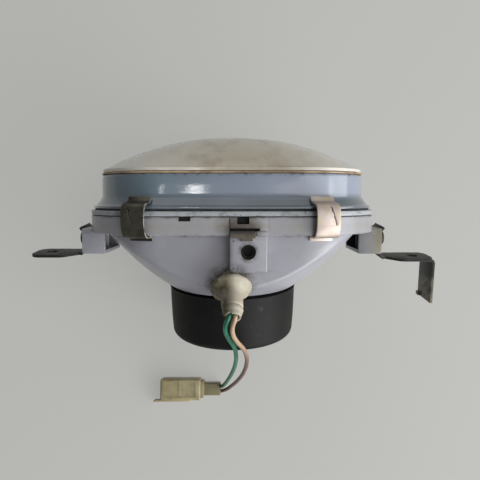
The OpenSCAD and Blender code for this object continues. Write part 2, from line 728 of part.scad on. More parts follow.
module parking_bulb_glass() {
    r = holder_bore_r - 0.3;
    color([0.9, 0.9, 0.88, 0.5]) on_holder() rotate_extrude($fn = 48) polygon(concat(
        [[0, -cap_in - joint_gap], [r - 0.6, -cap_in - joint_gap], [r, -cap_in - 1]],
        [for (a = [0:15:90]) [r * cos(a), -16 - r * sin(a)]]));
}

// A wire swept along hand chosen points, smoothed between them
function bend(a, b, c, d, t) = 0.5 * ((2 * b) + (c - a) * t
    + (2 * a - 5 * b + 4 * c - d) * t * t + (3 * b - a - 3 * c + d) * t * t * t);
function smooth(route) = concat([for (i = [0:len(route) - 2], t = [0, 0.5])
    bend(route[max(i - 1, 0)], route[i], route[i + 1], route[min(i + 2, len(route) - 1)], t)],
    [route[len(route) - 1]]);
function unit(v) = v / norm(v);
aside = [0.7, -0.7, 0];
sides = 8;

module wire(route) {
    path = smooth(route);
    last = len(path) - 1;
    rings = [for (i = [0:last])
        let (along = unit(path[min(i + 1, last)] - path[max(i - 1, 0)]),
            u = unit(cross(along, aside)), v = cross(along, u))
        [for (k = [0:sides - 1]) path[i] + wire_d / 2 * (cos(360 * k / sides) * u
            + sin(360 * k / sides) * v)]];
    capped(path[0], rings, path[last]);
}

module green_wire() {
    color([0.0, 0.40, 0.30]) wire(green_route);
}
module brown_wire() {
    color([0.42, 0.27, 0.24]) wire(brown_route);
}

// Connector lying on the surface: its own x runs away from the wires
module at_connector() {
    translate([conn_x, conn_y, 0]) children();
}

slot_w = 2.8;
wire_apart = 1.6;      // from the connector's middle to each wire
neck_w = conn_w - 6;
neck_h = conn_h - 2.4;
neck_low = 0.4;
neck_wall = 1;
seal_l = 3;
terminal_w = 2.4;

module connector_housing() {
    color([0.80, 0.76, 0.62]) at_connector() difference() {
        union() {
            translate([-conn_neck_l - conn_l, -conn_w / 2, 0]) cube([conn_l, conn_w, conn_h]);
            translate([-conn_neck_l - 1, -neck_w / 2, neck_low]) cube([conn_neck_l + 1, neck_w, neck_h]);
        }
        translate([-seal_l, -neck_w / 2 + neck_wall, neck_low + neck_wall])
            cube([seal_l + 1, neck_w - 2 * neck_wall, neck_h - 2 * neck_wall]);
        for (s = [-1, 1]) {
            translate([-conn_neck_l - conn_l - 1, s * wire_apart - slot_w / 2, wire_h - slot_w / 2])
                cube([conn_l - 2, slot_w, slot_w]);
            translate([-conn_neck_l - 4, s * wire_apart, wire_h])
                rotate([0, 90, 0]) cylinder(r = wire_d / 2 + joint_gap, h = conn_neck_l + 4, $fn = 32);
        }
    }
}

module connector_terminal(s) {
    color([0.72, 0.66, 0.50]) at_connector()
        translate([-conn_neck_l - conn_l + 3, s * wire_apart - terminal_w / 2,
            wire_h - terminal_w / 2])
            cube([conn_l - 8, terminal_w, terminal_w]);
}
module connector_green_terminal() connector_terminal(1);
module connector_brown_terminal() connector_terminal(-1);

module connector_wire_seal() {
    inset = neck_wall + joint_gap;
    color([0.86, 0.85, 0.80]) at_connector() difference() {
        translate([joint_gap - seal_l, -neck_w / 2 + inset, neck_low + inset])
            cube([seal_l - seat, neck_w - 2 * inset, neck_h - 2 * inset]);
        for (s = [-1, 1]) translate([-seal_l - 1, s * wire_apart, wire_h])
            rotate([0, 90, 0]) cylinder(r = wire_d / 2 + joint_gap, h = seal_l + 2, $fn = 32);
    }
}

latch_len = 24;
latch_t = 1.4;
latch_past = 5;

module connector_latch() {
    color([0.74, 0.71, 0.62]) at_connector()
        translate([-conn_neck_l - conn_l - latch_past, -conn_w / 2 - seat - latch_t, 1])
            cube([latch_len, latch_t, 5]);
}

lens_glass();
lens_sealant();
front_rim();
rim_gasket();
reflector();
rear_housing();
clip_lower_left();
clip_lower_right();
clip_upper_left();
clip_upper_right();
left_bracket();
right_bracket();
left_pivot_screw();
right_pivot_screw();
left_pivot_washer();
right_pivot_washer();
adjuster_nut();
adjuster_strip();
bulb_boot();
bulb_seat_ring();
bulb_retaining_spring();
main_bulb_flange();
main_bulb_cap();
main_bulb_glass();
main_bulb_filaments();
main_bulb_insulator();
main_bulb_contacts();
parking_lamp_holder();
parking_socket_shell();
parking_bulb_cap();
parking_bulb_glass();
green_wire();
brown_wire();
connector_housing();
connector_latch();
connector_green_terminal();
connector_brown_terminal();
connector_wire_seal();
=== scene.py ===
# %% [markdown]
# # A scooter headlight, turned over
# The lamp lies on its upper side, so its underside faces up and the boot over the bulb
# points at the reader. The CAD frame gives every size and place. This script dresses it:
# painted rim, glossy housing, rubber boot, spring clips, brackets, wires and connector.

# %% Load the frame
import json
import math
from functools import cached_property

import bmesh
import bpy
from mathutils import Matrix, Vector


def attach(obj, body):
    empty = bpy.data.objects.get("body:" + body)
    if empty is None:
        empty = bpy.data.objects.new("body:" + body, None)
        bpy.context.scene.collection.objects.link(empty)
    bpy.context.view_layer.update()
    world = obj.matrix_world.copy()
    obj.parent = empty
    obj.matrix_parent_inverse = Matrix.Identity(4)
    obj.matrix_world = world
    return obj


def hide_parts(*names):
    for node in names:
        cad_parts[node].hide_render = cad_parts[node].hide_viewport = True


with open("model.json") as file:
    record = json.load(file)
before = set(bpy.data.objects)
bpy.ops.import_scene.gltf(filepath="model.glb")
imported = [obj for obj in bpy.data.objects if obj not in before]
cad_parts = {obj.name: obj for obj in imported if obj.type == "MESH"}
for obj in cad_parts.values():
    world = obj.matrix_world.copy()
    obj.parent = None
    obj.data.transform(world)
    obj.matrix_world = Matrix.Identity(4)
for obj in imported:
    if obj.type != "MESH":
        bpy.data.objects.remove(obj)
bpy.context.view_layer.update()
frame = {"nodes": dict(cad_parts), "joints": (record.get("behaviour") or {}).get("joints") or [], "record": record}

# %% [markdown]
# ## The lamp's own axes
# A headlight is easiest to think of in its own axes: x across, y forward to the lens and
# z towards the underside, in millimetres from the middle of the flange. The frame's
# record holds the adjuster's direction and the bracket pivot, and these two say how the
# lamp leans on the table, so one matrix carries every piece to its place.

# %% Lamp axes
MM = 0.001
mounts = {mount["name"]: mount for mount in frame["record"]["mounts"]}
underside = Vector(mounts["adjuster_thread"]["axis"])
lean = math.atan2(-underside.y, underside.z)
pivot_row = next(Vector(j["pos_m"]) for j in frame["joints"] if j["name"] == "left_bracket_pivot")
pivot_lamp = Vector((0, -17, 4))
turn_lean = Matrix.Rotation(lean, 4, "X")
lamp_to_row = (Matrix.Translation(pivot_row - turn_lean @ (pivot_lamp * MM))
               @ turn_lean @ Matrix.Scale(MM, 4))
row_mm = Matrix.Scale(MM, 4)
print("the lamp leans", round(math.degrees(lean), 2), "degrees")

# %% [markdown]
# ## The camera
# The photograph looks down on the lamp from about 29 cm, a little from behind. The
# camera is placed in the lamp's axes, and its lens is worked out from the picture's
# 480 pixels, so that the outlines fall where the photograph has them.

# %% Camera
camera_data = bpy.data.cameras.new("camera")
camera_data.lens = 35.7
camera_data.sensor_width = 36
camera = bpy.data.objects.new("camera", camera_data)
bpy.context.scene.collection.objects.link(camera)
eye = lamp_to_row @ Vector((4.6, 6.87, 289.5))
tilt = lean - math.radians(5.1)
camera.matrix_world = Matrix.Translation(eye) @ Matrix.Rotation(tilt, 4, "X")
bpy.context.scene.camera = camera
print("the camera is tilted by", round(math.degrees(tilt), 2), "degrees")

# %% [markdown]
# ## The two wires
# Each wire is a stranded copper core in soft PVC, 2.4 mm thick. It leaves the parking
# lamp holder, hangs over the boot and lies down into the connector. A Bezier curve
# through listed points, with a round bevel, stays smooth however close one looks.
# The bevel is 1 and each point's radius is the wire's, so Blender's box of the curve is
# true too.

# %% Wires
green_route = [(0, -41.6, 104.2), (-0.9, -44, 105.2), (-2.2, -47, 103.4), (-2.7, -50.6, 98.6),
               (-1.3, -54.8, 91.4), (1.2, -59.2, 84), (2.4, -64.6, 73), (2, -70.6, 60),
               (0.2, -77, 46), (-2.9, -83.8, 31), (-5.8, -88.8, 17.6), (-7.8, -91, 9.6),
               (-10.6, -91.6, 6), (-14, -91.6, 5.4), (-19, -91.6, 5.4)]
brown_route = [(2.4, -41.6, 104.2), (2.2, -44.6, 105.2), (1, -48.4, 102.4), (0.9, -51.8, 98),
               (2.8, -56.3, 91), (6.3, -60.6, 84), (8.2, -65.7, 73), (8.2, -71.7, 60),
               (6.5, -77.8, 47), (3.5, -83.6, 33), (-0.6, -89, 20), (-4.6, -92.8, 11.4),
               (-7.8, -94.4, 7.2), (-11, -94.8, 5.6), (-14.6, -94.8, 5.4), (-19, -94.8, 5.4)]
wire_d = 2.4


def wire(name, route, node):
    """A round cord along a route, which rides on the lamp."""
    curve = bpy.data.curves.new(name, "CURVE")
    curve.dimensions = "3D"
    curve.bevel_depth = 1.0
    curve.bevel_resolution = 5
    curve.resolution_u = 10
    curve.use_fill_caps = True
    spline = curve.splines.new("BEZIER")
    spline.bezier_points.add(len(route) - 1)
    for point, place in zip(spline.bezier_points, route):
        point.co = row_mm @ Vector(place)
        point.handle_left_type = point.handle_right_type = "AUTO"
        point.radius = wire_d / 2 * MM
    piece = bpy.data.objects.new(name, curve)
    bpy.context.scene.collection.objects.link(piece)
    bpy.context.view_layer.update()
    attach(piece, "lamp")
    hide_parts(node)
    print(name, "is", round(spline.calc_length() / MM, 1), "mm long")
    return piece


green_wire = wire("green_insulation_wire", green_route, "green_wire")
brown_wire = wire("brown_insulation_wire", brown_route, "brown_wire")

# %% [markdown]
# ## Colours and nodes
# Colours are written as on the web, in sRGB hex, and Blender wants them linear. Every
# node in this scene is added by one small function, which takes its settings by name
# and fills or links its inputs.

# %% Colour and node helpers
def hex_linear(text):
    """An sRGB hex colour as linear red, green, blue and alpha."""
    values = [int(text[i:i + 2], 16) / 255 for i in (1, 3, 5)]
    return [v / 12.92 if v <= 0.04045 else ((v + 0.055) / 1.055) ** 2.4 for v in values] + [1.0]


def add_node(tree, kind, inputs=None, **settings):
    """Adds a node, sets its settings, and fills or links its inputs."""
    node = tree.nodes.new(kind)
    for key, value in settings.items():
        setattr(node, key, value)
    for key, value in (inputs or {}).items():
        if isinstance(value, bpy.types.NodeSocket):
            tree.links.new(value, node.inputs[key])
        else:
            node.inputs[key].default_value = value
    return node


print("pale grey is", [round(c, 3) for c in hex_linear("#C6C6C2")])

# %% [markdown]
# ## Sky
# A plain world lights the shadows a little. What the camera, a mirror or a glass sees of
# it is brighter than what it gives off, so that the picture keeps its contrast.

# %% Sky
def background_share(tree, share):
    """A factor for rays that show the background: seen, mirrored or through glass."""
    rays = add_node(tree, "ShaderNodeLightPath").outputs
    seen = add_node(tree, "ShaderNodeMath", {
        0: rays["Is Camera Ray"], 1: rays["Is Glossy Ray"]}, operation="ADD")
    seen = add_node(tree, "ShaderNodeMath", {
        0: seen.outputs[0], 1: rays["Is Transmission Ray"]}, operation="ADD", use_clamp=True)
    return add_node(tree, "ShaderNodeMath", {0: seen.outputs[0], 1: share},
                    operation="MULTIPLY").outputs[0]


world = bpy.data.worlds.new("plain_sky")
world.use_nodes = True
sky = world.node_tree.nodes["Background"]
sky.inputs["Color"].default_value = hex_linear("#E9ECEF")
sky_seen, sky_glow = 0.42, 0.05
brightness = add_node(world.node_tree, "ShaderNodeMath", {
    0: background_share(world.node_tree, sky_seen - sky_glow), 1: sky_glow}, operation="ADD")
world.node_tree.links.new(brightness.outputs[0], sky.inputs["Strength"])
bpy.context.scene.world = world
bpy.context.scene.view_settings.view_transform = "Standard"
print("the sky is seen at", sky_seen, "and glows at", sky_glow)

# %% [markdown]
# ## Lights
# The photograph is lit from the right: two wide low panels stand in for a wall of
# windows and a higher one for the bright ceiling, so the left flank falls into shade.
# A pale wall beyond the lens fills that shade a little, and two small panes are the
# windows that the glossy rim mirrors. A picture of a room could light the scene too, but
# area lamps are easier to move, and their mirror images have edges, as windows have.

# %% Lights
def soft_lamp(name, place, target, size, watts):
    """A rectangular area lamp that shines at a target."""
    light = bpy.data.lights.new(name, "AREA")
    light.shape = "RECTANGLE"
    light.size, light.size_y = size
    light.energy = watts
    lamp = bpy.data.objects.new(name, light)
    bpy.context.scene.collection.objects.link(lamp)
    lamp.location = place
    lamp.visible_camera = False
    lamp.rotation_euler = (Vector(target) - Vector(place)).to_track_quat("-Z", "Y").to_euler()
    print(name, "gives", watts, "W")


def pane(name, place, target, size, watts):
    """A small lamp whose place and target are in the lamp's own axes."""
    soft_lamp(name, lamp_to_row @ Vector(place), lamp_to_row @ Vector(target), size, watts)


soft_lamp("window_wall", (1.25, -0.2, 0.5), (0, 0, 0.05), (1.6, 0.9), 10.0)
soft_lamp("low_window", (0.9, -0.9, 0.4), (0, 0, 0.05), (1.4, 0.9), 15.5)
soft_lamp("bright_ceiling", (0.75, -0.3, 1.15), (0.35, -0.1, 0.04), (1.3, 1.3), 8.0)
soft_lamp("pale_wall", (0, 1.4, 0.9), (0, 0, 0.05), (2.6, 1.5), 8.0)
pane("window_pane", (-68, 26, 532), (-20, 11, 45), (0.018, 0.044), 0.055)
pane("second_pane", (-134, 37, 535), (-37, 17, 45), (0.012, 0.03), 0.012)

# %% [markdown]
# ## Floor
# The part lies on a plain pale board. Shadows fall on it near the lamp, and further out
# it blends into the even tone of the backdrop, which darkens slowly with the distance. A
# curved backdrop could hide the horizon as well, but a blend leaves the board flat.

# %% Floor
floor_half = 3
floor_mesh = bpy.data.meshes.new("pale_floor")
bm = bmesh.new()
bmesh.ops.create_grid(bm, x_segments=1, y_segments=1, size=floor_half)
bm.to_mesh(floor_mesh)
bm.free()
floor = bpy.data.objects.new("pale_floor", floor_mesh)
bpy.context.scene.collection.objects.link(floor)
floor_board = bpy.data.materials.new("painted_board")
floor_board.use_nodes = True
tree = floor_board.node_tree
board = tree.nodes["Principled BSDF"]
board.inputs["Base Color"].default_value = hex_linear("#C6C6C2")
board.inputs["Roughness"].default_value = 0.7
spot = add_node(tree, "ShaderNodeTexCoord").outputs["Object"]
distance = add_node(tree, "ShaderNodeVectorMath", {0: spot}, operation="LENGTH").outputs["Value"]
even_share = add_node(tree, "ShaderNodeMapRange", {
    "Value": distance, "From Min": 0.3, "From Max": 0.8, "To Min": 0.62, "To Max": 1.0})
far_away = add_node(tree, "ShaderNodeMapRange", {
    "Value": distance, "From Min": 0.5, "From Max": 2.6})
even_colour = add_node(tree, "ShaderNodeMix", {
    "Factor": far_away.outputs["Result"], 6: hex_linear("#BEBFBB"), 7: hex_linear("#9DA0A2")},
    data_type="RGBA")
even = add_node(tree, "ShaderNodeEmission", {"Color": even_colour.outputs[2]})
mixed = add_node(tree, "ShaderNodeMixShader", {
    "Fac": background_share(tree, even_share.outputs["Result"]),
    1: board.outputs["BSDF"], 2: even.outputs["Emission"]})
tree.links.new(mixed.outputs["Shader"], tree.nodes["Material Output"].inputs["Surface"])
floor_mesh.materials.append(floor_board)
print("the board is", 2 * floor_half, "m wide")

# %% [markdown]
# ## Painted finishes
# Each finish starts from what the real one is. A base colour is never even on a used
# lamp, so it is laid on in layers, as a painter does it: a first colour, then each
# further one where its masks are 1. Some layers also paint shade or reflection into the
# colour, and the comments at those layers say so. A mask is a noise with features of a
# real size, or a place on the lamp, and a layer's masks are multiplied. Painted pictures
# could hold all this too, but noises need no unwrapping and stay sharp however close one
# looks.

# %% Painted finishes
class Finish:
    """A Principled surface that is painted in layers. All its sizes are in millimetres."""

    def __init__(self, name, colour, roughness, metallic=0.0, **sockets):
        self.material = bpy.data.materials.new(name)
        self.material.use_nodes = True
        self.tree = self.material.node_tree
        self.shader = self.tree.nodes["Principled BSDF"]
        self.colour = hex_linear(colour)
        sockets.update(Base_Color=self.colour, Roughness=roughness, Metallic=metallic)
        for key, value in sockets.items():
            self.shader.inputs[key.replace("_", " ")].default_value = value
        self.where = self.node("ShaderNodeTexCoord").outputs["Object"]
        print("finish:", name)

    def node(self, kind, inputs=None, **settings):
        return add_node(self.tree, kind, inputs, **settings)

    @cached_property
    def place(self):
        """The place in the lamp's own axes."""
        return self.node("ShaderNodeMapping", {
            "Vector": self.where, "Location": lamp_to_row.translation, "Rotation": (lean, 0, 0),
            "Scale": (MM, MM, MM)}, vector_type="TEXTURE").outputs["Vector"]

    @cached_property
    def axes(self):
        return self.node("ShaderNodeSeparateXYZ", {"Vector": self.place}).outputs

    def rise(self, value, none, full):
        """0 where a value is at none, and 1 where it is at full."""
        return self.node("ShaderNodeMapRange", {
            "Value": value, "From Min": none, "From Max": full}).outputs["Result"]

    def patches(self, size, low, high, detail=4.0, seed=0.0):
        """A noise whose features are about one size, sharpened between low and high."""
        moved = self.node("ShaderNodeMapping", {"Vector": self.where, "Location": (seed,) * 3})
        noise = self.node("ShaderNodeTexNoise", {
            "Vector": moved.outputs["Vector"], "Scale": 1 / (size * MM), "Detail": detail,
            "Roughness": 0.6})
        return self.rise(noise.outputs["Fac"], low, high)

    def fade(self, axis, full, none):
        """Falls from 1 at full to 0 at none, along one of the lamp's axes."""
        return self.rise(self.axes[axis], none, full)

    def near(self, axis, centre, reach_out):
        """1 where a coordinate is at the centre, and 0 from the reach on."""
        away = self.node("ShaderNodeMath", {0: self.axes[axis], 1: centre}, operation="SUBTRACT")
        size = self.node("ShaderNodeMath", {0: away.outputs[0]}, operation="ABSOLUTE")
        return self.rise(size.outputs[0], reach_out, 0.0)

    def around(self, centre, inner, outer):
        """1 within the inner distance of a point, and 0 beyond the outer one."""
        gap = self.node("ShaderNodeVectorMath", {0: self.place, 1: centre}, operation="DISTANCE")
        return self.rise(gap.outputs["Value"], outer, inner)

    def merged(self, how, masks):
        """Merges masks one after the other."""
        total = masks[0]
        for mask in masks[1:]:
            total = self.node("ShaderNodeMath", {0: total, 1: mask}, operation=how).outputs[0]
        return total

    def overlap(self, *masks):
        return self.merged("MULTIPLY", masks)

    def strongest(self, *masks):
        return self.merged("MAXIMUM", masks)

    def layer(self, colour, *masks):
        """Lays a hex colour, or a socket's, over the present ones where the masks overlap."""
        top = hex_linear(colour) if isinstance(colour, str) else colour
        mix = self.node("ShaderNodeMix", {"Factor": self.overlap(*masks), 6: self.colour, 7: top},
                        data_type="RGBA")
        self.colour = mix.outputs[2]
        self.tree.links.new(self.colour, self.shader.inputs["Base Color"])
        return self

    def mottle(self, colour, size, low, high, **noise):
        """Lays a colour on in patches."""
        return self.layer(colour, self.patches(size, low, high, **noise))

    def emboss(self, pattern, height, normal="Normal"):
        """Raises a pattern by a height, on the base or on the coat."""
        bump = self.node("ShaderNodeBump", {
            "Height": pattern, "Strength": 1.0, "Distance": height * MM})
        self.tree.links.new(bump.outputs["Normal"], self.shader.inputs[normal])
        return self

    def grain(self, size, height, normal="Normal"):
        noise = self.node("ShaderNodeTexNoise", {
            "Vector": self.where, "Scale": 1 / (size * MM), "Detail": 3.0})
        return self.emboss(noise.outputs["Fac"], height, normal)


# %% [markdown]
# ## The rim's paint
# Smooth grey-blue enamel, sprayed and stoved. The eye reads mirror-like paint that is a
# little rippled, so a clear coat lies on it with a fine peel of its own. The side towards
# the windows is painted paler, as a painted reflection of them, and the flared foot is
# painted darker, as painted shade with some dust. Dirt gathers where the glass's seal
# meets it.

# %% Rim finish
rim_paint = Finish("stoved_enamel_on_steel", "#566873", 0.3, Coat_Weight=1.0, Coat_Roughness=0.05)
drift = rim_paint.patches(60, 0.35, 0.65)
painted_window_reflection = rim_paint.node("ShaderNodeMix", {
    "Factor": drift, 6: hex_linear("#868FA0"), 7: hex_linear("#9096A6")}, data_type="RGBA")
rim_paint.layer("#5F727C", drift)
# Painted reflection: paler on the side towards the windows.
rim_paint.layer(painted_window_reflection.outputs[2], rim_paint.fade("X", 20, -45))
# Painted shade with some dust: darker at the flared foot.
rim_paint.layer("#545E66", rim_paint.fade("Y", 5.5, 9.5), rim_paint.patches(40, 0.0, 0.5))
rim_paint.layer("#43474B", rim_paint.near("Y", 19.2, 1.5), rim_paint.patches(3.5, 0.5, 0.6))
rim_paint.mottle("#4A4E52", 1.6, 0.72, 0.75, seed=3)
rim_paint.grain(9, 0.02).grain(0.9, 0.018, "Coat Normal")

# %% [markdown]
# ## The glass
# Old pressed glass. Dust lies on the side that faces up: beige and half clear there, with
# faint brown smears, and clear lower down. Around that beige middle the edges and top are
# left paler, as a painted reflection of the bright room. The inside of the same glass is
# pressed into upright flutes that spread the beam, and they show as fine parallel ribs
# from the front.

# %% Lens finishes
lens_glass = Finish("dusty_pressed_glass_painted_reflection", "#F6F2E8", 0.12, IOR=1.5, Transmission_Weight=0.5)
# Beige dust on the up-facing middle; the paler glass around it is painted reflection.
dust_and_reflection = lens_glass.around((6, 24, 46), 8, 56)
lens_glass.layer("#D2C8B5", dust_and_reflection)
lens_glass.layer("#B5A690", lens_glass.patches(16, 0.5, 0.72), dust_and_reflection)
clear = lens_glass.node("ShaderNodeMapRange", {
    "Value": lens_glass.axes["Z"], "From Min": 24.0, "From Max": -12.0,
    "To Min": 0.3, "To Max": 0.9})
lens_glass.tree.links.new(clear.outputs["Result"], lens_glass.shader.inputs["Transmission Weight"])

# One band of a wave texture is 2 pi / 20 wide at a scale of 1.
flute_w, flute_h = 5.5, 0.5
fluted_glass = Finish("fluted_pressed_glass", "#EAE5D9", 0.08, IOR=1.5, Transmission_Weight=0.85)
fluted_glass.mottle("#CFC5B2", 20, 0.4, 0.7)
flutes = fluted_glass.node("ShaderNodeTexWave", {
    "Vector": fluted_glass.where, "Scale": math.pi / (10 * flute_w * MM), "Distortion": 0.0},
    bands_direction="X")
fluted_glass.emboss(flutes.outputs["Fac"], flute_h)

# %% [markdown]
# ## Seal, mirror and gasket
# What lies between the glass and the housing: putty, the reflector's lacquered edge and
# bright bowl, and foam rubber. Each has its colours in patches and a grain of its own.

# %% Seal, mirror and gasket finishes
# Tan putty squeezed out between the glass and the rim: soft, lumpy and unevenly brown.
sealant = Finish("butyl_sealant", "#BDA482", 0.5).mottle("#91785A", 8, 0.4, 0.62).grain(2.2, 0.15)

# Painted edge of the reflector's sheet: pale grey with chips and dark stains.
lip_metal = Finish("chipped_pale_lacquer", "#A0A4A7", 0.35).mottle("#7C7E7E", 5, 0.5, 0.68)
lip_metal.mottle("#4B4A46", 2.2, 0.64, 0.68, seed=5).grain(3, 0.05)

# Vacuum coated aluminium: a bright mirror with a very faint ripple.
mirror_metal = Finish("vacuum_metallised_mirror", "#E8E6E0", 0.08, 1.0)
mirror_metal.mottle("#CFCCC4", 30, 0.4, 0.7).grain(12, 0.02)

# Foam rubber: black and dull, so the seam reads as a dark line.
gasket_rubber = Finish("cellular_rubber_gasket", "#2A2A2C", 0.8)
gasket_rubber.mottle("#524D47", 4, 0.4, 0.7).grain(1.0, 0.08)

# %% [markdown]
# ## The housing's plastic
# Glossy grey-lavender ABS, injection moulded. Its sides are clean and softly shiny, and
# grime gathers along the seam, behind the lip and about the lug. Left of the lug and
# around the holder the darkening is painted shade with some grime: a painted shadow on
# the bowl and a dark halo about the holder. The lug's lower edge is darker too, and two
# dark dots are painted shade for dimples in its face. The nut and the holder get their
# places here, because the dirt and the painted shade follow them.

# %% Housing finish
lug_x, nut_y, lug_top = 8.8, -20.5, 52
holder_y = -38.6
shell = Finish("moulded_abs_housing", "#9E9EA7", 0.36, IOR=1.5, Coat_Weight=0.4,
               Coat_Roughness=0.36)
shell.mottle("#919199", 45, 0.35, 0.65)
shell.layer("#8F8D86", shell.near("Y", -7.5, 6.0), shell.patches(30, 0.3, 0.6))
shell.mottle("#838387", 26, 0.55, 0.8, seed=2)
# Painted shadow of the lug on the bowl, to its left.
lug_flank_shadow = shell.overlap(shell.near("X", -1.6, 3.2), shell.near("Y", -22, 15.0))
# Grime, with painted shade beside the lug and a painted dark halo about the holder.
grime_and_shade = shell.strongest(
    shell.near("Y", -3.0, 1.3),
    shell.overlap(shell.near("Y", -12.6, 1.6), shell.patches(16, 0.5, 0.7)),
    shell.around((lug_x, nut_y, lug_top), 4.2, 6.0),
    shell.overlap(shell.near("Y", -31.2, 1.6), shell.near("X", lug_x, 15.0)),
    shell.overlap(lug_flank_shadow, 0.5),
    shell.around((0, holder_y, 47), 9.5, 15))
shell.layer("#48423A", grime_and_shade, shell.patches(4, 0.34, 0.6, detail=6))
# A smooth painted shadow left of the lug.
shell.layer("#5F6064", lug_flank_shadow, 0.8)
caked = shell.overlap(shell.near("Y", -7.6, 7.5), shell.near("X", 5.5, 15.0))
caked = shell.node("ShaderNodeMath", {0: caked, 1: 1.7}, operation="MULTIPLY", use_clamp=True)
shell.layer("#4A4136", caked.outputs[0], shell.patches(5, 0.12, 0.5, detail=6))
# Two dark dots: painted shade for dimples in the lug's face.
for y in (-15, -28.7):
    shell.layer("#343231", shell.around((1.3, y, lug_top), 0.25, 0.6))
shell.mottle("#3C3A38", 1.3, 0.735, 0.75, seed=7).grain(14, 0.05)

# %% Ear and pocket finishes
# The right ear has yellowed from the outside in.
aged_ear = Finish("yellowed_abs_ear", "#7E7F80", 0.34, IOR=1.5)
aged_ear.layer("#6F6953", aged_ear.fade("X", 83, 77), aged_ear.patches(7, 0.25, 0.5))
aged_ear.mottle("#4E4A3E", 1.5, 0.68, 0.7, seed=1).grain(6, 0.06)

# Inside of the same plastic, in the deep pockets and slots: painted nearly black, as
# painted shade, with dusty patches.
pocket_shade = Finish("abs_pocket_painted_shade", "#100F0F", 0.6, Specular_IOR_Level=0.3)
pocket_shade.mottle("#2E2C29", 3, 0.4, 0.7).grain(1.5, 0.05)

# On the shaded side the pockets have no painted shade and keep the plastic's own mid grey.
plain_pocket = Finish("plain_abs_pocket", "#9C9DA2", 0.5)
plain_pocket.mottle("#B0B0B3", 3, 0.4, 0.7).grain(1.5, 0.05)

# %% [markdown]
# ## Rubber
# The boot is moulded EPDM: dark and half matt, with a pale bloom and a fine tooth. Its
# lip, and a band of the wall just behind it, are painted deep black as painted shade.

# %% Rubber finishes
boot_rubber = Finish("moulded_epdm_rubber", "#0A0909", 0.6, IOR=1.4, Specular_IOR_Level=0.28)
boot_rubber.mottle("#151312", 18, 0.4, 0.7)
# Painted shade: a deep black band about the lip.
boot_rubber.layer("#010101", boot_rubber.near("Y", -44.2, 3.4))
boot_rubber.layer("#3A3737", boot_rubber.patches(3.5, 0.62, 0.8, seed=4),
                  boot_rubber.fade("Y", -50, -47))
boot_rubber.grain(1.6, 0.04)
# The lip's own faces take a painted shade: deep black, nearly without a sheen.
boot_lip_shade = Finish("epdm_lip_painted_shade", "#020202", 0.9, Specular_IOR_Level=0.05)
boot_lip_shade.mottle("#0B0A0A", 4, 0.4, 0.7).grain(1.6, 0.04)

# Pale silicone plug behind the wires: dull and slightly grubby.
seal_rubber = Finish("silicone_seal", "#BDB8AA", 0.6)
seal_rubber.mottle("#938E80", 3, 0.4, 0.7).grain(2, 0.03)

# %% [markdown]
# ## Plastics of the holder and the connector
# Both have aged. Polypropylene is milky; its left side is tea-brown and dark, partly
# stain and partly painted shade.
# Nylon is waxy and half see-through, and darker towards its neck. A little subsurface
# scattering gives both their soft edges.

# %% Plastic finishes
holder_plastic = Finish("stained_and_shaded_polypropylene", "#ABA594", 0.42, Subsurface_Weight=0.1,
                        Subsurface_Scale=1.5 * MM)
# Tea-brown on the left: partly stain, partly painted shade.
holder_plastic.layer("#4C4329", holder_plastic.patches(8, 0.2, 0.5),
                     holder_plastic.fade("X", -2.5, 2.5))
holder_plastic.layer("#8C8468", holder_plastic.patches(4, 0.42, 0.6, seed=2),
                     holder_plastic.fade("Z", 50, 57))
holder_plastic.grain(4, 0.05)
nylon = Finish("yellowed_nylon", "#ABA17E", 0.34, Subsurface_Weight=0.25, Subsurface_Scale=3 * MM)
nylon.mottle("#968A63", 10, 0.4, 0.65).mottle("#867A54", 5, 0.55, 0.8, seed=6)
nylon.layer("#79714F", nylon.fade("X", -18.5, -23)).grain(3, 0.04)

# Deep inside the cavities the same nylon is painted darker brown, as painted shade.
nylon_cavity_shade = Finish("nylon_cavity_painted_shade", "#75694A", 0.4)
nylon_cavity_shade.mottle("#4E452E", 2, 0.4, 0.7).grain(1.5, 0.04)

# %% Cord finishes
# Soft shiny PVC, one core green and one brown, both a little scuffed. The brown one is
# painted paler where it comes out of the holder, as a painted highlight.
green_pvc = Finish("green_pvc_insulation", "#076F51", 0.3)
green_pvc.mottle("#054C3A", 6, 0.4, 0.7).grain(1.5, 0.02)
brown_pvc = Finish("brown_pvc_insulation", "#6E4A40", 0.32).mottle("#553530", 6, 0.4, 0.7)
# Painted highlight: paler where the wire leaves the holder.
brown_pvc.layer("#B49A7E", brown_pvc.fade("Z", 55, 30)).grain(1.5, 0.02)
for cord, finish, slot in ((green_wire, green_pvc, "green_insulation"),
                           (brown_wire, brown_pvc, "brown_insulation")):
    cord.data.materials.append(finish.material)

# %% [markdown]
# ## Metals
# Every small steel part was plated or blackened once, and each has aged its own way. A
# metal's colour is its reflection, so the patches are in the base colour, and bare rubbed
# edges are finishes of their own that the bevelled faces take.

# %% Zinc finishes
# Old zinc gone olive grey: dull metal with darker bruises and brighter rubbed spots.
dark_zinc = Finish("aged_olive_zinc", "#524E44", 0.34, 0.85).mottle("#2F2C26", 11, 0.38, 0.68)
dark_zinc.mottle("#A7A49A", 2, 0.7, 0.76, seed=8).grain(1.2, 0.02)

# Younger passivated zinc: bright, with the yellow and pink cast of the chromate bath.
bright_zinc = Finish("yellow_passivated_zinc", "#B4A8A0", 0.38, 0.5)
bright_zinc.mottle("#A99890", 7, 0.4, 0.62).mottle("#AEA486", 5, 0.52, 0.66, seed=4)
bright_zinc.grain(0.9, 0.02)

# The bright clip's sheared edges, where the bath left a paler and cleaner film.
bright_rubbed = Finish("sheared_zinc_edge", "#EAE2D6", 0.28, 0.7)
bright_rubbed.mottle("#BFAE94", 4, 0.4, 0.65).grain(0.8, 0.01)

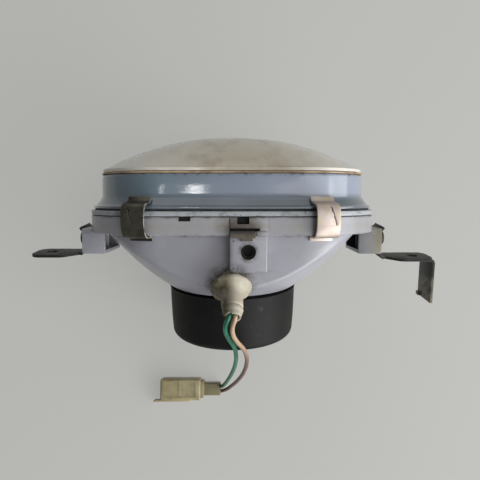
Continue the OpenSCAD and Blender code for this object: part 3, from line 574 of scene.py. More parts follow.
# Where hands and tools rubbed the old zinc's edges, the metal shines.
rubbed_zinc = Finish("rubbed_zinc_edge", "#CFCABF", 0.3, 0.85)
rubbed_zinc.mottle("#6A675D", 3, 0.42, 0.58).grain(0.8, 0.01)

# Clean zinc plate on the parts inside the lamp.
plain_steel = Finish("plain_zinc_plate", "#AFADA5", 0.35, 0.9)
plain_steel.mottle("#8E8C85", 4, 0.4, 0.7).grain(1.2, 0.01)

# %% Steel finishes
# Thin black coat worn through to olive steel on bends and edges.
bracket_steel = Finish("worn_black_steel", "#100F0A", 0.5, Specular_IOR_Level=0.3)
bracket_steel.mottle("#353126", 5, 0.54, 0.7, detail=7)
bracket_steel.layer("#6A6654", bracket_steel.fade("Y", -43, -39.5),
                    bracket_steel.patches(4, 0.34, 0.56, detail=8))
bracket_steel.mottle("#9A958A", 2.2, 0.66, 0.74, detail=5, seed=9).grain(1.5, 0.03)
rubbed_steel = Finish("rubbed_steel_edge", "#817C70", 0.32, 0.7)
rubbed_steel.mottle("#33312A", 3.5, 0.42, 0.6).grain(0.8, 0.01)

# Rusted steel: dark brown scale, painted nearly black where it stands in its recess, as
# painted shade.
rusty_steel = Finish("rusted_steel_strip", "#564D41", 0.6).mottle("#3B3026", 2.5, 0.5, 0.7)
# Painted shade: nearly black inside the recess.
rusty_steel.layer("#1E1712", rusty_steel.fade("Y", -10.4, -12.2)).grain(0.8, 0.08)

# The nut's thread is packed with black grease. This near black is also the painted shade
# in the nut's bore and on the inner faces of the clips.
grease_and_shade_steel = Finish("greasy_steel_painted_shade", "#0C0B0A", 0.5, Specular_IOR_Level=0.3)
grease_and_shade_steel.mottle("#38332D", 1.0, 0.5, 0.7).grain(1.2, 0.3)

# %% Bulb finishes
# Tarnished brass on bulb caps and terminals.
brass = Finish("tarnished_brass", "#B99F66", 0.35, 1.0)
brass.mottle("#7E6A42", 3, 0.4, 0.7).grain(1.2, 0.01)

# Clear bulb envelope with a trace of smoke from its filament.
bulb_glass = Finish("bulb_envelope_glass", "#F5F5F3", 0.02, IOR=1.5, Transmission_Weight=1.0)
bulb_glass.mottle("#D2D0CB", 9, 0.55, 0.8)

# Black glass that insulates the contacts under the bulb's cap.
black_glass = Finish("black_insulator_glass", "#1F1B1A", 0.2).mottle("#332D2A", 2, 0.4, 0.7)

# %% [markdown]
# ## Plain CAD nodes
# The small exact solids inside the lamp have the right shapes already, so they keep
# them and only take a finish.

# %% Finish the CAD nodes
nodes_of_finish = (
    (gasket_rubber, ["rim_gasket"]),
    (dark_zinc, ["left_pivot_washer", "right_pivot_washer"]),
    # The nut is near black: grease, and painted shade in its bore.
    (grease_and_shade_steel, ["adjuster_nut"]),
    (rusty_steel, ["adjuster_strip"]),
    (plain_steel, ["bulb_seat_ring", "bulb_retaining_spring", "main_bulb_flange",
                   "main_bulb_filaments"]),
    (brass, ["main_bulb_cap", "main_bulb_contacts", "parking_socket_shell", "parking_bulb_cap",
             "connector_green_terminal", "connector_brown_terminal"]),
    (bulb_glass, ["main_bulb_glass", "parking_bulb_glass"]),
    (black_glass, ["main_bulb_insulator"]),
    (seal_rubber, ["connector_wire_seal"]),
)
for finish, names in nodes_of_finish:
    for name in names:
        mesh = frame["nodes"][name].data
        mesh.materials.clear()
        mesh.materials.append(finish.material)
    print(finish.material.name, "is on", ", ".join(names))

# %% [markdown]
# ## Rings and lofts
# Lens, rim, reflector and housing all follow the flange's outline, a rounded rectangle.
# A ring is that outline, grown or shrunk, at one height. A loft extrudes the first
# ring's edges from ring to ring, which keeps the faces in even rows.

# %% Rings
flange_w, flange_h, flange_r = 163.0, 102.0, 45.0
ring_count = 176


def reach(angle, half_w, half_h, radius):
    """How far a rounded rectangle's outline lies from its middle, at an angle."""
    c, s = abs(math.cos(angle)), abs(math.sin(angle))
    cx, cz = half_w - radius, half_h - radius
    if s > 1e-6 and c * half_h / s <= cx:
        return half_h / s
    if c > 1e-6 and s * half_w / c <= cz:
        return half_w / c
    b = cx * c + cz * s
    return b + math.sqrt(b * b - cx * cx - cz * cz + radius * radius)


def ring(grow, y, k=1.0):
    """The flange's outline grown by grow, at height y, drawn in towards an ellipse by k."""
    half_w, half_h = flange_w / 2 + grow, flange_h / 2 + grow
    points = []
    for i in range(ring_count):
        q = 2 * math.pi * i / ring_count
        ex, ez = half_w * math.cos(q), half_h * math.sin(q)
        angle, e = math.atan2(ez, ex), math.hypot(ex, ez)
        r = k * (e + (reach(angle, half_w, half_h, flange_r + grow) - e) * k * k)
        points.append(Vector((r * math.cos(angle), y, r * math.sin(angle))))
    return points


def rings(profile):
    """A ring for each pair of growth and height."""
    return [ring(grow, y) for grow, y in profile]


print("the flange measures", flange_w, "by", flange_h, "mm")

# %% Lofts
# Points that are closer than this, in millimetres, are one.
merge_gap = 0.0005


def pole(bm, edges, place):
    """Closes a loop of edges in one point."""
    made = bmesh.ops.extrude_edge_only(bm, edges=edges)["geom"]
    fresh = [v for v in made if isinstance(v, bmesh.types.BMVert)]
    bmesh.ops.pointmerge(bm, verts=fresh, merge_co=place)


def loft(outlines, closed=False, first=None, last=None):
    """Skins the outlines in turn. closed joins the last to the first; first and last are poles."""
    bm = bmesh.new()
    count = len(outlines[0])
    verts = [bm.verts.new(p) for p in outlines[0]]
    edges = [bm.edges.new((verts[i], verts[(i + 1) % count])) for i in range(count)]
    start_edges = edges
    if first is not None:
        pole(bm, edges, first)
    for points in outlines[1:]:
        made = bmesh.ops.extrude_edge_only(bm, edges=edges)["geom"]
        fresh = [v for v in made if isinstance(v, bmesh.types.BMVert)]
        where = {tuple(round(c, 5) for c in v.co): v for v in fresh}
        verts = [where[tuple(round(c, 5) for c in v.co)] for v in verts]
        for vert, place in zip(verts, points):
            vert.co = place
        edges = [bm.edges.get((verts[i], verts[(i + 1) % count])) for i in range(count)]
    if closed:
        bmesh.ops.bridge_loops(bm, edges=edges + start_edges)
    if last is not None:
        pole(bm, edges, last)
    bmesh.ops.remove_doubles(bm, verts=bm.verts, dist=merge_gap)
    bmesh.ops.recalc_face_normals(bm, faces=bm.faces)
    return bm


tray = loft(rings([(0, 0), (-10, 0), (-12, -20)]))
print("a loft through three rings has", len(tray.faces), "faces")
tray.free()

# %% [markdown]
# ## Pieces
# Each shape is moved to its place in its mesh, and its object stays at the origin. It
# gets its finishes, rides on a body of the frame and stands for the CAD nodes that it
# replaces. Faces are smooth, with sharp edges where they turn by more than an angle.

# %% Pieces
def piece(bm, name, body, nodes, slot, finishes, place=lamp_to_row, angle=35, modifiers=()):
    """Writes a shaped mesh as a piece that rides on a body and stands for its CAD nodes."""
    mesh = bpy.data.meshes.new(name)
    bm.to_mesh(mesh)
    bm.free()
    mesh.transform(place)
    mesh.polygons.foreach_set("use_smooth", [True] * len(mesh.polygons))
    mesh.set_sharp_from_angle(angle=math.radians(angle))
    for finish in finishes:
        mesh.materials.append(finish.material)
    thing = bpy.data.objects.new(name, mesh)
    bpy.context.scene.collection.objects.link(thing)
    for kind, settings in modifiers:
        modifier = thing.modifiers.new(kind.lower(), kind)
        for key, value in settings.items():
            setattr(modifier, key, value)
    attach(thing, body)
    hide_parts(*nodes)
    print(name, "has", len(mesh.polygons), "faces")
    return thing


# %% [markdown]
# ## The lens
# The glass is a shallow moulded dome with a square edge that rests on the rim, and a
# skirt that the sealant holds inside it. A squashed sphere would be quicker, but its
# edge wouldn't follow the flange, so the dome is lofted through many rings that shrink
# towards its top. The flutes are only on the middle of its inner face.

# %% Lens dome
rim_top = 19.5
bead_h, edge_h, dome_h, dome_power = 1.0, 1.8, 19.6, 2.3
glass_edge, skirt_out, skirt_h, glass_t = -6.8, -9.5, 4, 3.0
flutes_end = 68
glass_foot = rim_top + bead_h
dome_low = glass_foot + edge_h
apex = dome_low + dome_h
steps = [1, 0.992, 0.98, 0.96, 0.93] + [0.9 - 0.05 * i for i in range(17)]
outer = [ring(glass_edge, dome_low + dome_h * (1 - k ** dome_power), k) for k in steps[::-1]]
edge = rings([(glass_edge, glass_foot + 0.3), (glass_edge - 0.3, glass_foot),
              (skirt_out, glass_foot), (skirt_out, rim_top - skirt_h),
              (skirt_out - glass_t, rim_top - skirt_h)])
under = dome_low - edge_h / 2
inner = [ring(skirt_out - glass_t, under + (apex - glass_t - under) * (1 - k ** dome_power), k)
         for k in steps]
bm = loft(outer + edge + inner, first=(0, apex, 0), last=(0, apex - glass_t, 0))
for face in bm.faces:
    at = face.calc_center_median()
    faces_in = face.normal.y < -0.2 and abs(at.x) < flutes_end and at.y > rim_top
    face.material_index = 1 if faces_in else 0
piece(bm, "lens_dome", "lamp", ["lens_glass"], "lens_glass", [lens_glass, fluted_glass])

# %% [markdown]
# ## The sealant
# A bead of putty fills the joint between the glass and the rim. It swells out a little
# under the glass's edge, so its outline is lofted as the rest is.

# %% Sealant bead
bead_low, bead_in = 16.5, -8.65
bm = loft(rings([(skirt_out + 0.15, bead_low), (skirt_out + 0.15, glass_foot - 0.1),
                 (glass_edge - 0.2, glass_foot - 0.1), (glass_edge + 0.45, rim_top + 0.85),
                 (glass_edge + 0.65, rim_top + 0.5), (glass_edge + 0.4, rim_top + 0.1),
                 (bead_in, rim_top + 0.1), (bead_in, bead_low)]), closed=True)
piece(bm, "sealant_bead", "lamp", ["lens_sealant"], "lens_sealant", [sealant])

# %% [markdown]
# ## The rim
# The rim is deep drawn steel sheet: a nearly upright wall that flares out at its foot
# to press on the gasket, and turns in over the top to carry the glass. A bevelled box
# could pass for it from afar. A loft gives the flare its long curve.

# %% Front rim
flare = [(-1.4 - 4.6 * k, 2.3 + 5.1 * k ** 1.8) for k in [i / 10 for i in range(11)]]
profile = ([(-1.9, 0.9), (-1.5, 1.0), (-1.35, 1.3), (-1.35, 2.0)] + flare
           + [(-6.05, 9.0), (-6.1, 13.0), (-6.2, 17.6), (-6.35, 18.6), (-6.7, 19.2),
              (-7.3, rim_top), (-8.5, rim_top), (-8.5, 0.9)])
bm = loft(rings(profile), closed=True)
piece(bm, "front_rim_drawn", "lamp", ["front_rim"], "rim_paint", [rim_paint], angle=50)

# %% [markdown]
# ## The paraboloid
# Reflector and housing are bowls about the bulb's axis, which is raked a little. A
# paraboloid throws the bulb's light forward in parallel rays. Its height over a point
# has no short formula in the lamp's axes, so a few rounds of a fixed point find it.

# %% Paraboloid
focal, bowl_back = 29.0, -56.3
rake, axis_z = math.radians(4.5), 1.0
mirror_edge = -11.3


def bowl_y(x, z, shift):
    """Where the bowl's paraboloid, moved forward by shift, stands over (x, z)."""
    y = -40.0
    for _ in range(12):
        across = -y * math.sin(rake) + (z - axis_z) * math.cos(rake)
        along = bowl_back + shift + (x * x + across * across) / (4 * focal)
        y = (along - (z - axis_z) * math.sin(rake)) / math.cos(rake)
    return y


def axis_circle(radius, shift):
    """A ring about the bulb axis, on the paraboloid, with a point for each of ring()'s."""
    points = []
    along = bowl_back + shift + radius * radius / (4 * focal)
    for p in ring(mirror_edge, 0):
        angle = math.atan2(p.z, p.x)
        x, z = radius * math.cos(angle), radius * math.sin(angle)
        points.append(Vector((x, along * math.cos(rake) - z * math.sin(rake),
                              axis_z + along * math.sin(rake) + z * math.cos(rake))))
    return points


def between(first, second, t, shift):
    """A ring part of the way from one to another, laid on the paraboloid."""
    points = []
    for a, b in zip(first, second):
        x, z = a.x + (b.x - a.x) * t, a.z + (b.z - a.z) * t
        points.append(Vector((x, bowl_y(x, z, shift), z)))
    return points


print("the bowl is", round(-bowl_y(0, axis_z, 0), 1), "mm deep")

# %% [markdown]
# ## Lip and mirror
# The reflector's edge is the light lip between the rim and the housing. Behind it the
# sheet goes on as the mirror, which shows through the glass. A Solidify modifier would
# thicken the lip along with the bowl, so a second set of rings, a sheet's thickness
# behind the first, closes the sheet at its back.

# %% Reflector
mirror_ahead, sheet_t, bulb_hole_r = 10, 0.8, 10.5
mirror_top, sheet_top, lacquer_w = -1.2, -2.9, 9.4
mirror_start, hole = ring(mirror_edge, 0), axis_circle(bulb_hole_r, mirror_ahead)
sixteenths = [i / 16 for i in range(17)]
mirror_rings = [between(mirror_start, hole, t, mirror_ahead) for t in sixteenths]
for point in mirror_rings[0]:
    point.y = min(point.y, mirror_top)
back_rings = [between(mirror_start, hole, 1 - t, mirror_ahead - sheet_t) for t in sixteenths]
for point in sum(back_rings, []):
    point.y = min(point.y, sheet_top)
lip = rings([(-9.5, -2.6), (-0.5, -2.6), (-0.15, -2.45), (0, -2.0), (0, -0.6), (-0.15, -0.15),
             (-0.5, 0), (mirror_edge, 0)])
bm = loft(lip + mirror_rings + back_rings, closed=True)
for face in bm.faces:
    at = face.calc_center_median()
    inside = reach(math.atan2(at.z, at.x), flange_w / 2 - lacquer_w, flange_h / 2 - lacquer_w,
                   flange_r - lacquer_w)
    face.material_index = 1 if math.hypot(at.x, at.z) < inside else 0
piece(bm, "reflector_lip_and_mirror", "lamp", ["reflector"], "reflector_metal",
      [lip_metal, mirror_metal])

# %% [markdown]
# ## Blocks, bores and cuts
# Ears, lug, clips and connector are cut from simple shapes, as a toolmaker would. The
# cuts are exact booleans, and a bevel breaks every sharp edge, so that it catches light.
# Insets and extrusions could sink the pockets too, but cuts are easier to measure.

# %% Blocks, bores and cuts
def blocks(*corners):
    """A mesh of boxes, each between two opposite corners."""
    bm = bmesh.new()
    for low, high in corners:
        low, high = Vector(low), Vector(high)
        place = Matrix.Translation((low + high) / 2) @ Matrix.Diagonal((*(high - low), 1))
        bmesh.ops.create_cube(bm, size=1, matrix=place)
    return bm


def cylinder(bm, radius, low, high, place=Matrix(), segments=48):
    """Adds a cylinder about the z axis, or about where that goes with a place."""
    move = place @ Matrix.Translation((0, 0, (low + high) / 2))
    bmesh.ops.create_cone(bm, cap_ends=True, segments=segments, radius1=radius,
                          radius2=radius, depth=high - low, matrix=move)


def carve(bm, cutters, how="DIFFERENCE"):
    """Cuts the cutters' shapes out of a mesh, keeps what is inside them, or joins them."""
    objects = []
    for shape in [bm] + list(cutters):
        mesh = bpy.data.meshes.new("carving")
        shape.to_mesh(mesh)
        shape.free()
        thing = bpy.data.objects.new("carving", mesh)
        bpy.context.scene.collection.objects.link(thing)
        objects.append(thing)
    base = objects[0]
    for cutter in objects[1:]:
        modifier = base.modifiers.new("cut", "BOOLEAN")
        modifier.operation = how
        modifier.solver = "EXACT"
        modifier.object = cutter
    bpy.context.view_layer.update()
    graph = bpy.context.evaluated_depsgraph_get()
    result = bmesh.new()
    result.from_mesh(base.evaluated_get(graph).to_mesh())
    for thing in objects:
        mesh = thing.data
        bpy.data.objects.remove(thing)
        bpy.data.meshes.remove(mesh)
    bmesh.ops.remove_doubles(result, verts=result.verts, dist=merge_gap)
    return result


def soften(bm, width, segments=2, angle=30, worn=None):
    """Bevels the edges that turn by more than angle. worn is the bevels' own finish."""
    limit = math.radians(angle)
    sharp = [e for e in bm.edges if len(e.link_faces) == 2 and e.calc_face_angle(0) > limit]
    made = bmesh.ops.bevel(bm, geom=sharp, offset=width, segments=segments, profile=0.5,
                           affect="EDGES", material=-1, clamp_overlap=True)
    if worn is not None:
        for face in made["faces"]:
            face.material_index = worn


brick = blocks(((0, 0, 0), (20, 10, 10)))
soften(brick, 1)
print("a block whose edges are broken has", len(brick.faces), "faces")
brick.free()

# %% [markdown]
# ## The rear housing
# The housing is one plastic moulding. A straight wall stands on the lip, a narrow shelf
# steps in, and a deep bowl runs back to the boot. A subdivided cage is the usual way to
# such a shape, yet it is hard to hold to a tenth of a millimetre. So the skin is lofted
# through rings that turn from the flange's outline into circles about the bulb's axis.

# %% Housing skin
wall_top, wall_end, wall_t, inner_wall = -2.9, -12.4, 1.8, -2.4
throat_r, fillet_r, nut_hole_r = 36.5, 1.6, 3.85
foot = []
for p in ring(-6, wall_end):
    k = 1.0
    while bowl_y(p.x * k, p.z * k, 0) > wall_end - 0.3:
        k -= 0.002
    foot.append(Vector((p.x * k, wall_end, p.z * k)))
down = [Vector((p.x, bowl_y(p.x, p.z, 0), p.z)) for p in foot]
fillet = [p.lerp(q, 0.5) for p, q in zip(foot, down)]
start = [p.lerp(q, max(0.75, 1 - fillet_r / max(fillet_r, (q - p).length)))
         for p, q in zip(foot, down)]
throat = axis_circle(throat_r, 0)
bowl_rings = [between(foot, throat, t, 0)
              for t in [0.04, 0.09, 0.16] + [0.25 + 0.083 * i for i in range(9)]]
outside = rings([(-1.0, wall_top), (-0.3, wall_top), (0, wall_top - 0.35), (0, wall_end + 0.6),
                 (-0.2, wall_end + 0.15), (-0.6, wall_end), (-5.7, wall_end)])
inside = [axis_circle(throat_r - 0.2, wall_t)]
inside += [between(foot, throat, 0.9 - 0.1 * i, wall_t) for i in range(9)]
inside += [[Vector((q.x, wall_end + wall_t, q.z)) for q in foot]]
inside += rings([(inner_wall, wall_end + wall_t), (inner_wall, wall_top)])
skin = loft(outside + [foot, fillet, start] + bowl_rings + [throat] + inside, closed=True)
print("the skin is lofted through", len(outside + bowl_rings + inside) + 4, "rings")

# %% [markdown]
# ## Notches and the nut's bore
# Two notches are cut in the wall's lip, a shallow recess takes the steel strip, and a
# bore takes the nut. One notch is open, so a block painted as shade closes it from behind.

# %% Notches and bore
notches = [((-26.4, wall_top - 2.2, 46), (-20.3, 0, lug_top + 2)),
           ((3.2, wall_top - 3.6, 46.5), (9.3, 0, lug_top + 2))]
recess = ((-0.5, -10.2, 48.4), (14.6, -8.5, lug_top + 2))


def nut_bore():
    """A cutter for the bore that the nut sits in."""
    bore = bmesh.new()
    cylinder(bore, nut_hole_r, 44, 60, Matrix.Translation((lug_x, nut_y, 0)), 64)
    return bore


skin = carve(skin, [blocks(*notches, recess), nut_bore()])
piece(skin, "housing_skin", "lamp", ["rear_housing"], "housing_plastic", [shell], angle=50,
      modifiers=[("WEIGHTED_NORMAL", {"keep_sharp": True})])
# A block painted as shade closes the open notch from behind.
bm = blocks(((-27, wall_top - 3.5, 46), (-19.7, wall_top + 0.2, 48.4)))
soften(bm, 0.2)
piece(bm, "notch_shade_backing", "lamp", ["rear_housing"], "housing_plastic", [pocket_shade])

# %% [markdown]
# ## The boot
# A moulded rubber cap keeps dust off the bulb. It is one turned profile: a thin lip on
# the bowl, a slightly tapered wall and a generously rounded end. A full spin about an
# axis makes it, as a lathe does.

# %% Bulb boot
def turned(profile, steps=96):
    """Spins a profile of (radius, height) points about the z axis."""
    bm = bmesh.new()
    verts = [bm.verts.new((r, 0, h)) for r, h in profile]
    edges = [bm.edges.new(pair) for pair in zip(verts, verts[1:])]
    bmesh.ops.spin(bm, geom=verts + edges, axis=(0, 0, 1), cent=(0, 0, 0), dvec=(0, 0, 0),
                   angle=2 * math.pi, steps=steps, use_merge=True)
    bmesh.ops.remove_doubles(bm, verts=bm.verts, dist=merge_gap)
    bmesh.ops.recalc_face_normals(bm, faces=bm.faces)
    return bm


lamp_axis = lamp_to_row @ Matrix.Translation((0, 0, axis_z)) @ Matrix.Rotation(rake, 4, "X")
turn_axis = lamp_axis @ Matrix.Rotation(-math.pi / 2, 4, "X")
boot_front, boot_end, boot_edge_r, lip_h = -43.59, -76.39, 4.5, 2.0
edge = [(36.9 - boot_edge_r * (1 - math.sin(a)), boot_end + boot_edge_r * (1 - math.cos(a)))
        for a in [math.pi / 2 * i / 10 for i in range(11)]]
profile = ([(0, boot_end), (12, boot_end), (24, boot_end)] + edge
           + [(37.4, boot_end + 12), (37.8, boot_front - 9), (37.9, boot_front - 3.2),
              (37.95, boot_front - 2.2), (38.3, boot_front - 1.9), (38.45, boot_front - 1.4),
              (38.45, boot_front - 0.5), (38.2, boot_front - 0.1), (37.6, boot_front),
              (35.8, boot_front), (35.4, boot_front - 0.6),
              (35.2, boot_front - 10), (33.2, boot_end + 6), (0, boot_end + 3)])
bm = turned(profile)
# The lip's faces take the painted shade.
for face in bm.faces:
    face.material_index = 1 if face.calc_center_median().z > boot_front - lip_h else 0
piece(bm, "rubber_boot", "lamp", ["bulb_boot"], "boot_rubber", [boot_rubber, boot_lip_shade],
      turn_axis, angle=50)

# %% [markdown]
# ## The parking lamp holder
# A cream plastic holder plugs into the bowl. It has a disc that seats on the plastic, a
# fillet into the stem, and a groove near its tip, where the wires come out of a split.
# Its profile is drawn with sharp corners, and every corner is then rounded.

# %% Parking lamp holder
def rounded(points, radius, steps=4):
    """Rounds the inner corners of an open line of points."""
    line = [Vector(points[0])]
    for before, at, after in zip(points, points[1:], points[2:]):
        a, b = Vector(before) - Vector(at), Vector(after) - Vector(at)
        cut = min(radius, a.length * 0.45, b.length * 0.45)
        p, q = Vector(at) + a.normalized() * cut, Vector(at) + b.normalized() * cut
        for i in range(steps + 1):
            t = i / steps
            line.append(p * (1 - t) ** 2 + Vector(at) * 2 * t * (1 - t) + q * t * t)
    return line + [Vector(points[-1])]


seat = Vector((0, holder_y, 48.6))
on_holder = (lamp_to_row @ Matrix.Translation(seat) @ Matrix.Rotation(math.radians(5), 4, "Y")
             @ Matrix.Rotation(math.radians(40), 4, "X"))
stem, tip, plug_r = 5.5, 19.5, 3.9
profile = rounded([(plug_r, -6), (stem, -6), (stem, 0.2), (10.2, 0.2), (10.7, 0.9), (10.5, 2.2),
                   (8.9, 3.0), (stem + 1.2, 4.6), (stem + 0.1, 6.8), (stem - 0.1, tip - 6),
                   (stem - 0.9, tip - 5.3), (stem - 0.2, tip - 4.3), (stem - 0.4, tip - 3),
                   (stem - 1.2, tip - 2), (stem - 1.5, tip), (3, tip), (2.8, tip - 2.5),
                   (0, tip - 2.5)], 0.5)
bm = turned([(0, 8), (plug_r, 8)] + [(max(0.0, q.x), q.y) for q in profile])
split = blocks(((-stem - 1, -0.45, tip - 4.6), (stem + 1, 0.45, tip + 1)))
short = blocks(((-stem - 1, -stem - 1, tip - 1.1), (-0.6, stem + 1, tip + 1)))
bm = carve(bm, [split, short])
piece(bm, "parking_holder_turned", "lamp", ["parking_lamp_holder"], "holder_plastic",
      [holder_plastic], on_holder, angle=50)

# %% [markdown]
# ## Ears
# The housing's ears carry the bracket screws. Like the real moulding they are hollow,
# with a rib across, so two deep pockets show from the middle of the lamp. The right ear
# is made, and the left one is its mirror image.

# %% Ears
def paint_shade_inside(bm, low, high):
    """Gives the faces inside a box the second finish, in most pieces a painted shade."""
    for face in bm.faces:
        at = face.calc_center_median()
        if all(low[i] < at[i] < high[i] for i in range(3)):
            face.material_index = 1


def mirrored(bm):
    """Turns a shape for the right side into the one for the left."""
    bmesh.ops.scale(bm, verts=bm.verts, vec=(-1, 1, 1))
    bmesh.ops.recalc_face_normals(bm, faces=bm.faces)


ear_low, ear_high, ear_wall = (72, -25, -13), (85, -10.6, 21), 2
rib_low, rib_high, rib_end, pocket_x, pocket_y = 3, 5, 74.5, 80, -14.4
low_y, low_z = ear_low[1] + ear_wall, ear_low[2] + ear_wall
high_z = ear_high[2] - ear_wall
for side, across, finishes in (("left", -1, [shell, plain_pocket]),
                               ("right", 1, [aged_ear, pocket_shade])):
    bm = blocks((ear_low, ear_high))
    soften(bm, 0.5)
    bm = carve(bm, [blocks(((60, low_y, low_z), (rib_end, pocket_y, high_z))),
                    blocks(((70, low_y, low_z), (pocket_x, pocket_y, rib_low)),
                           ((70, low_y, rib_high), (pocket_x, pocket_y, high_z)))])
    # The right ear's pockets take the painted shade; the left ones keep the plastic's grey.
    paint_shade_inside(bm, (ear_low[0] + 0.4, low_y - 0.2, low_z - 0.2),
                  (pocket_x + 0.2, pocket_y + 0.2, high_z + 0.2))
    if across < 0:
        mirrored(bm)
    piece(bm, "ear_" + side, "lamp", ["rear_housing"], "housing_plastic", finishes)

# %% [markdown]
# ## The lug
# The lug holds the nut of the aiming screw. It is a block on the bowl, with a saddle up
# to the wall and a small step beside it. The recess and the notch cut through the
# saddle too, and their insides, like the nut's bore, are painted dark as painted shade.
# Each block is bevelled before they are joined, so the steps between them stay crisp.

# %% Lug
def joined(bm, extra):
    """Adds a second mesh to the first."""
    mesh = bpy.data.meshes.new("joined")
    extra.to_mesh(mesh)
    extra.free()
    bm.from_mesh(mesh)
    bpy.data.meshes.remove(mesh)
    return bm


lug_w, lug_back, lug_front = 19, -31, -12.2
lug_left, lug_right = lug_x - lug_w / 2, lug_x + lug_w / 2
bm = blocks(((lug_left, lug_back, 43), (lug_right, lug_front, lug_top)))
soften(bm, 0.6, 3)
bm = carve(bm, [nut_bore()])
# The bore's walls are painted dark, as painted shade.
paint_shade_inside(bm, (4.6, -24.7, 42), (13, -16.3, lug_top - 0.1))
step = blocks(((lug_right - 5.5, lug_front - 0.3, 44), (lug_right, -9.9, lug_top)))
soften(step, 0.5)
saddle = blocks(((lug_left, wall_end + 0.2, 44.5), (lug_right, wall_top - 0.2, lug_top - 0.5)))
soften(saddle, 0.4)
saddle = carve(saddle, [blocks(notches[1], recess)])
# The recess and the notch are painted dark, as painted shade.
paint_shade_inside(saddle, (lug_left - 0.5, -10.3, 48.2), (14.8, -8.4, lug_top - 0.55))
paint_shade_inside(saddle, (3.1, wall_top - 3.7, 42), (9.4, 0, lug_top - 0.55))
piece(joined(joined(bm, step), saddle), "adjuster_lug", "lamp", ["rear_housing"],
      "housing_plastic", [shell, pocket_shade])

# %% [markdown]
# ## Bent sheet
# Clips, brackets and the latch are strips of sheet. Each is drawn once from the side as
# a middle line with rounded bends, the line is pushed out to both sides, and the
# outline is extruded by the strip's width. A plane with a Solidify modifier would bend
# as well, but this way the edges can be bevelled and rubbed bright afterwards.

# %% Bent sheet
def sheet_outline(line, thick):
    """The outline of a bent sheet: its middle line pushed out to both sides."""
    left, right = [], []
    for i, at in enumerate(line):
        a = (at - line[i - 1]).normalized() if i else (line[1] - at).normalized()
        b = (line[i + 1] - at).normalized() if i + 1 < len(line) else a
        across = Vector((-(a + b).y, (a + b).x)).normalized()
        out = thick / 2 / max(0.5, across.dot(Vector((-a.y, a.x))))
        left.append(at + across * out)
        right.append(at - across * out)
    return left + right[::-1]


def raised(bm, verts, height):
    """Fills a loop of vertices and extrudes it along z."""
    edges = [bm.edges.new((verts[i - 1], verts[i])) for i in range(len(verts))]
    faces = bmesh.ops.edgeloop_fill(bm, edges=edges)["faces"]
    made = bmesh.ops.extrude_face_region(bm, geom=faces)["geom"]
    bmesh.ops.translate(bm, verts=[v for v in made if isinstance(v, bmesh.types.BMVert)],
                        vec=(0, 0, height))
    bmesh.ops.recalc_face_normals(bm, faces=bm.faces)
    return bm


def bent_sheet(line, thick, width):
    """A bent sheet whose middle line lies in x and y and whose width runs along z."""
    bm = bmesh.new()
    verts = [bm.verts.new((q.x, q.y, -width / 2)) for q in sheet_outline(line, thick)]
    return raised(bm, verts, width)


strip = bent_sheet(rounded([(0, 0), (20, 0), (20, 10)], 3), 1, 8)
print("a strip with one bend has", len(strip.faces), "faces")
strip.free()

# %% [markdown]
# ## Spring clips
# Four bent strips of spring steel snap over the flange and hold rim, gasket, reflector
# and housing together. Each has a hook that bites on the rim's foot, a bulged back with
# one slanting slot, and a lip that turns in under the wall. The bevels along its sheared
# edges shine, and the inside of the clip is painted near black, as painted shade with
# some grease.

# %% Spring clips
clip_w, clip_t, clip_turn = 12.4, 1.0, 14.149
corner_x, corner_z, corner_r = 36.5, 6, 45
clip_line = [(-4.6, 7.2), (-3.3, 4.6), (3.4, 3.3), (4.6, 0), (5, -4.5), (4.3, -9.5), (2.4, -13.2),
             (-4.9, -13.2), (-5.2, -15.4)]
swap = Matrix(((0, 0, 1, 0), (0, 1, 0, 0), (1, 0, 0, 0), (0, 0, 0, 1)))
for name, across, under in (("clip_lower_left", -1, 1), ("clip_lower_right", 1, 1),
                            ("clip_upper_left", -1, -1), ("clip_upper_right", 1, -1)):
    bm = bent_sheet(rounded(clip_line, 1.9, 5), clip_t, clip_w)
    bmesh.ops.transform(bm, matrix=swap, verts=bm.verts)
    bmesh.ops.recalc_face_normals(bm, faces=bm.faces)
    slot = bmesh.new()
    slot_at = Vector((2.6 if across * under > 0 else -1.2, -2.2, 4.6))
    bmesh.ops.create_cube(slot, size=1, matrix=Matrix.Translation(slot_at)
                          @ Matrix.Rotation(math.radians(16), 4, "Z")
                          @ Matrix.Diagonal((0.8, 9.6, 4, 1)))
    bm = carve(bm, [slot])
    soften(bm, 0.28, 2, 40, worn=1)
    for face in bm.faces:
        at = face.calc_center_median()
        if abs(face.normal.x) > 0.9 and abs(at.x) > clip_w / 2 - 0.2:
            face.material_index = 1
        # The inner face is painted near black, as painted shade.
        elif face.normal.z < -0.35 and -12.6 < at.y < 6.5:
            face.material_index = 2
    turn = across * clip_turn if under > 0 else 180 - across * clip_turn
    at_corner = (lamp_to_row @ Matrix.Translation((corner_x * across, 0, corner_z * under))
                 @ Matrix.Rotation(math.radians(turn), 4, "Y")
                 @ Matrix.Translation((0, 0, corner_r)))
    bright = name == "clip_lower_right"
    finishes = [bright_zinc, bright_rubbed] if bright else [dark_zinc, rubbed_zinc]
    piece(bm, name + "_strip", name, [name], "clip_bright_zinc" if bright else "clip_dark_zinc",
          finishes + [grease_and_shade_steel], at_corner)

# %% [markdown]
# ## Brackets
# The brackets are 1.5 mm steel, bent so that a plate lies on the ear and an arm reaches
# out. A press cuts them flat and then bends them. Here the sheet is bent first, and the
# arm's outline is cut by keeping what is inside it, because the holes then stay round.
# The right arm ends in a leg, bent down, with a small toe.

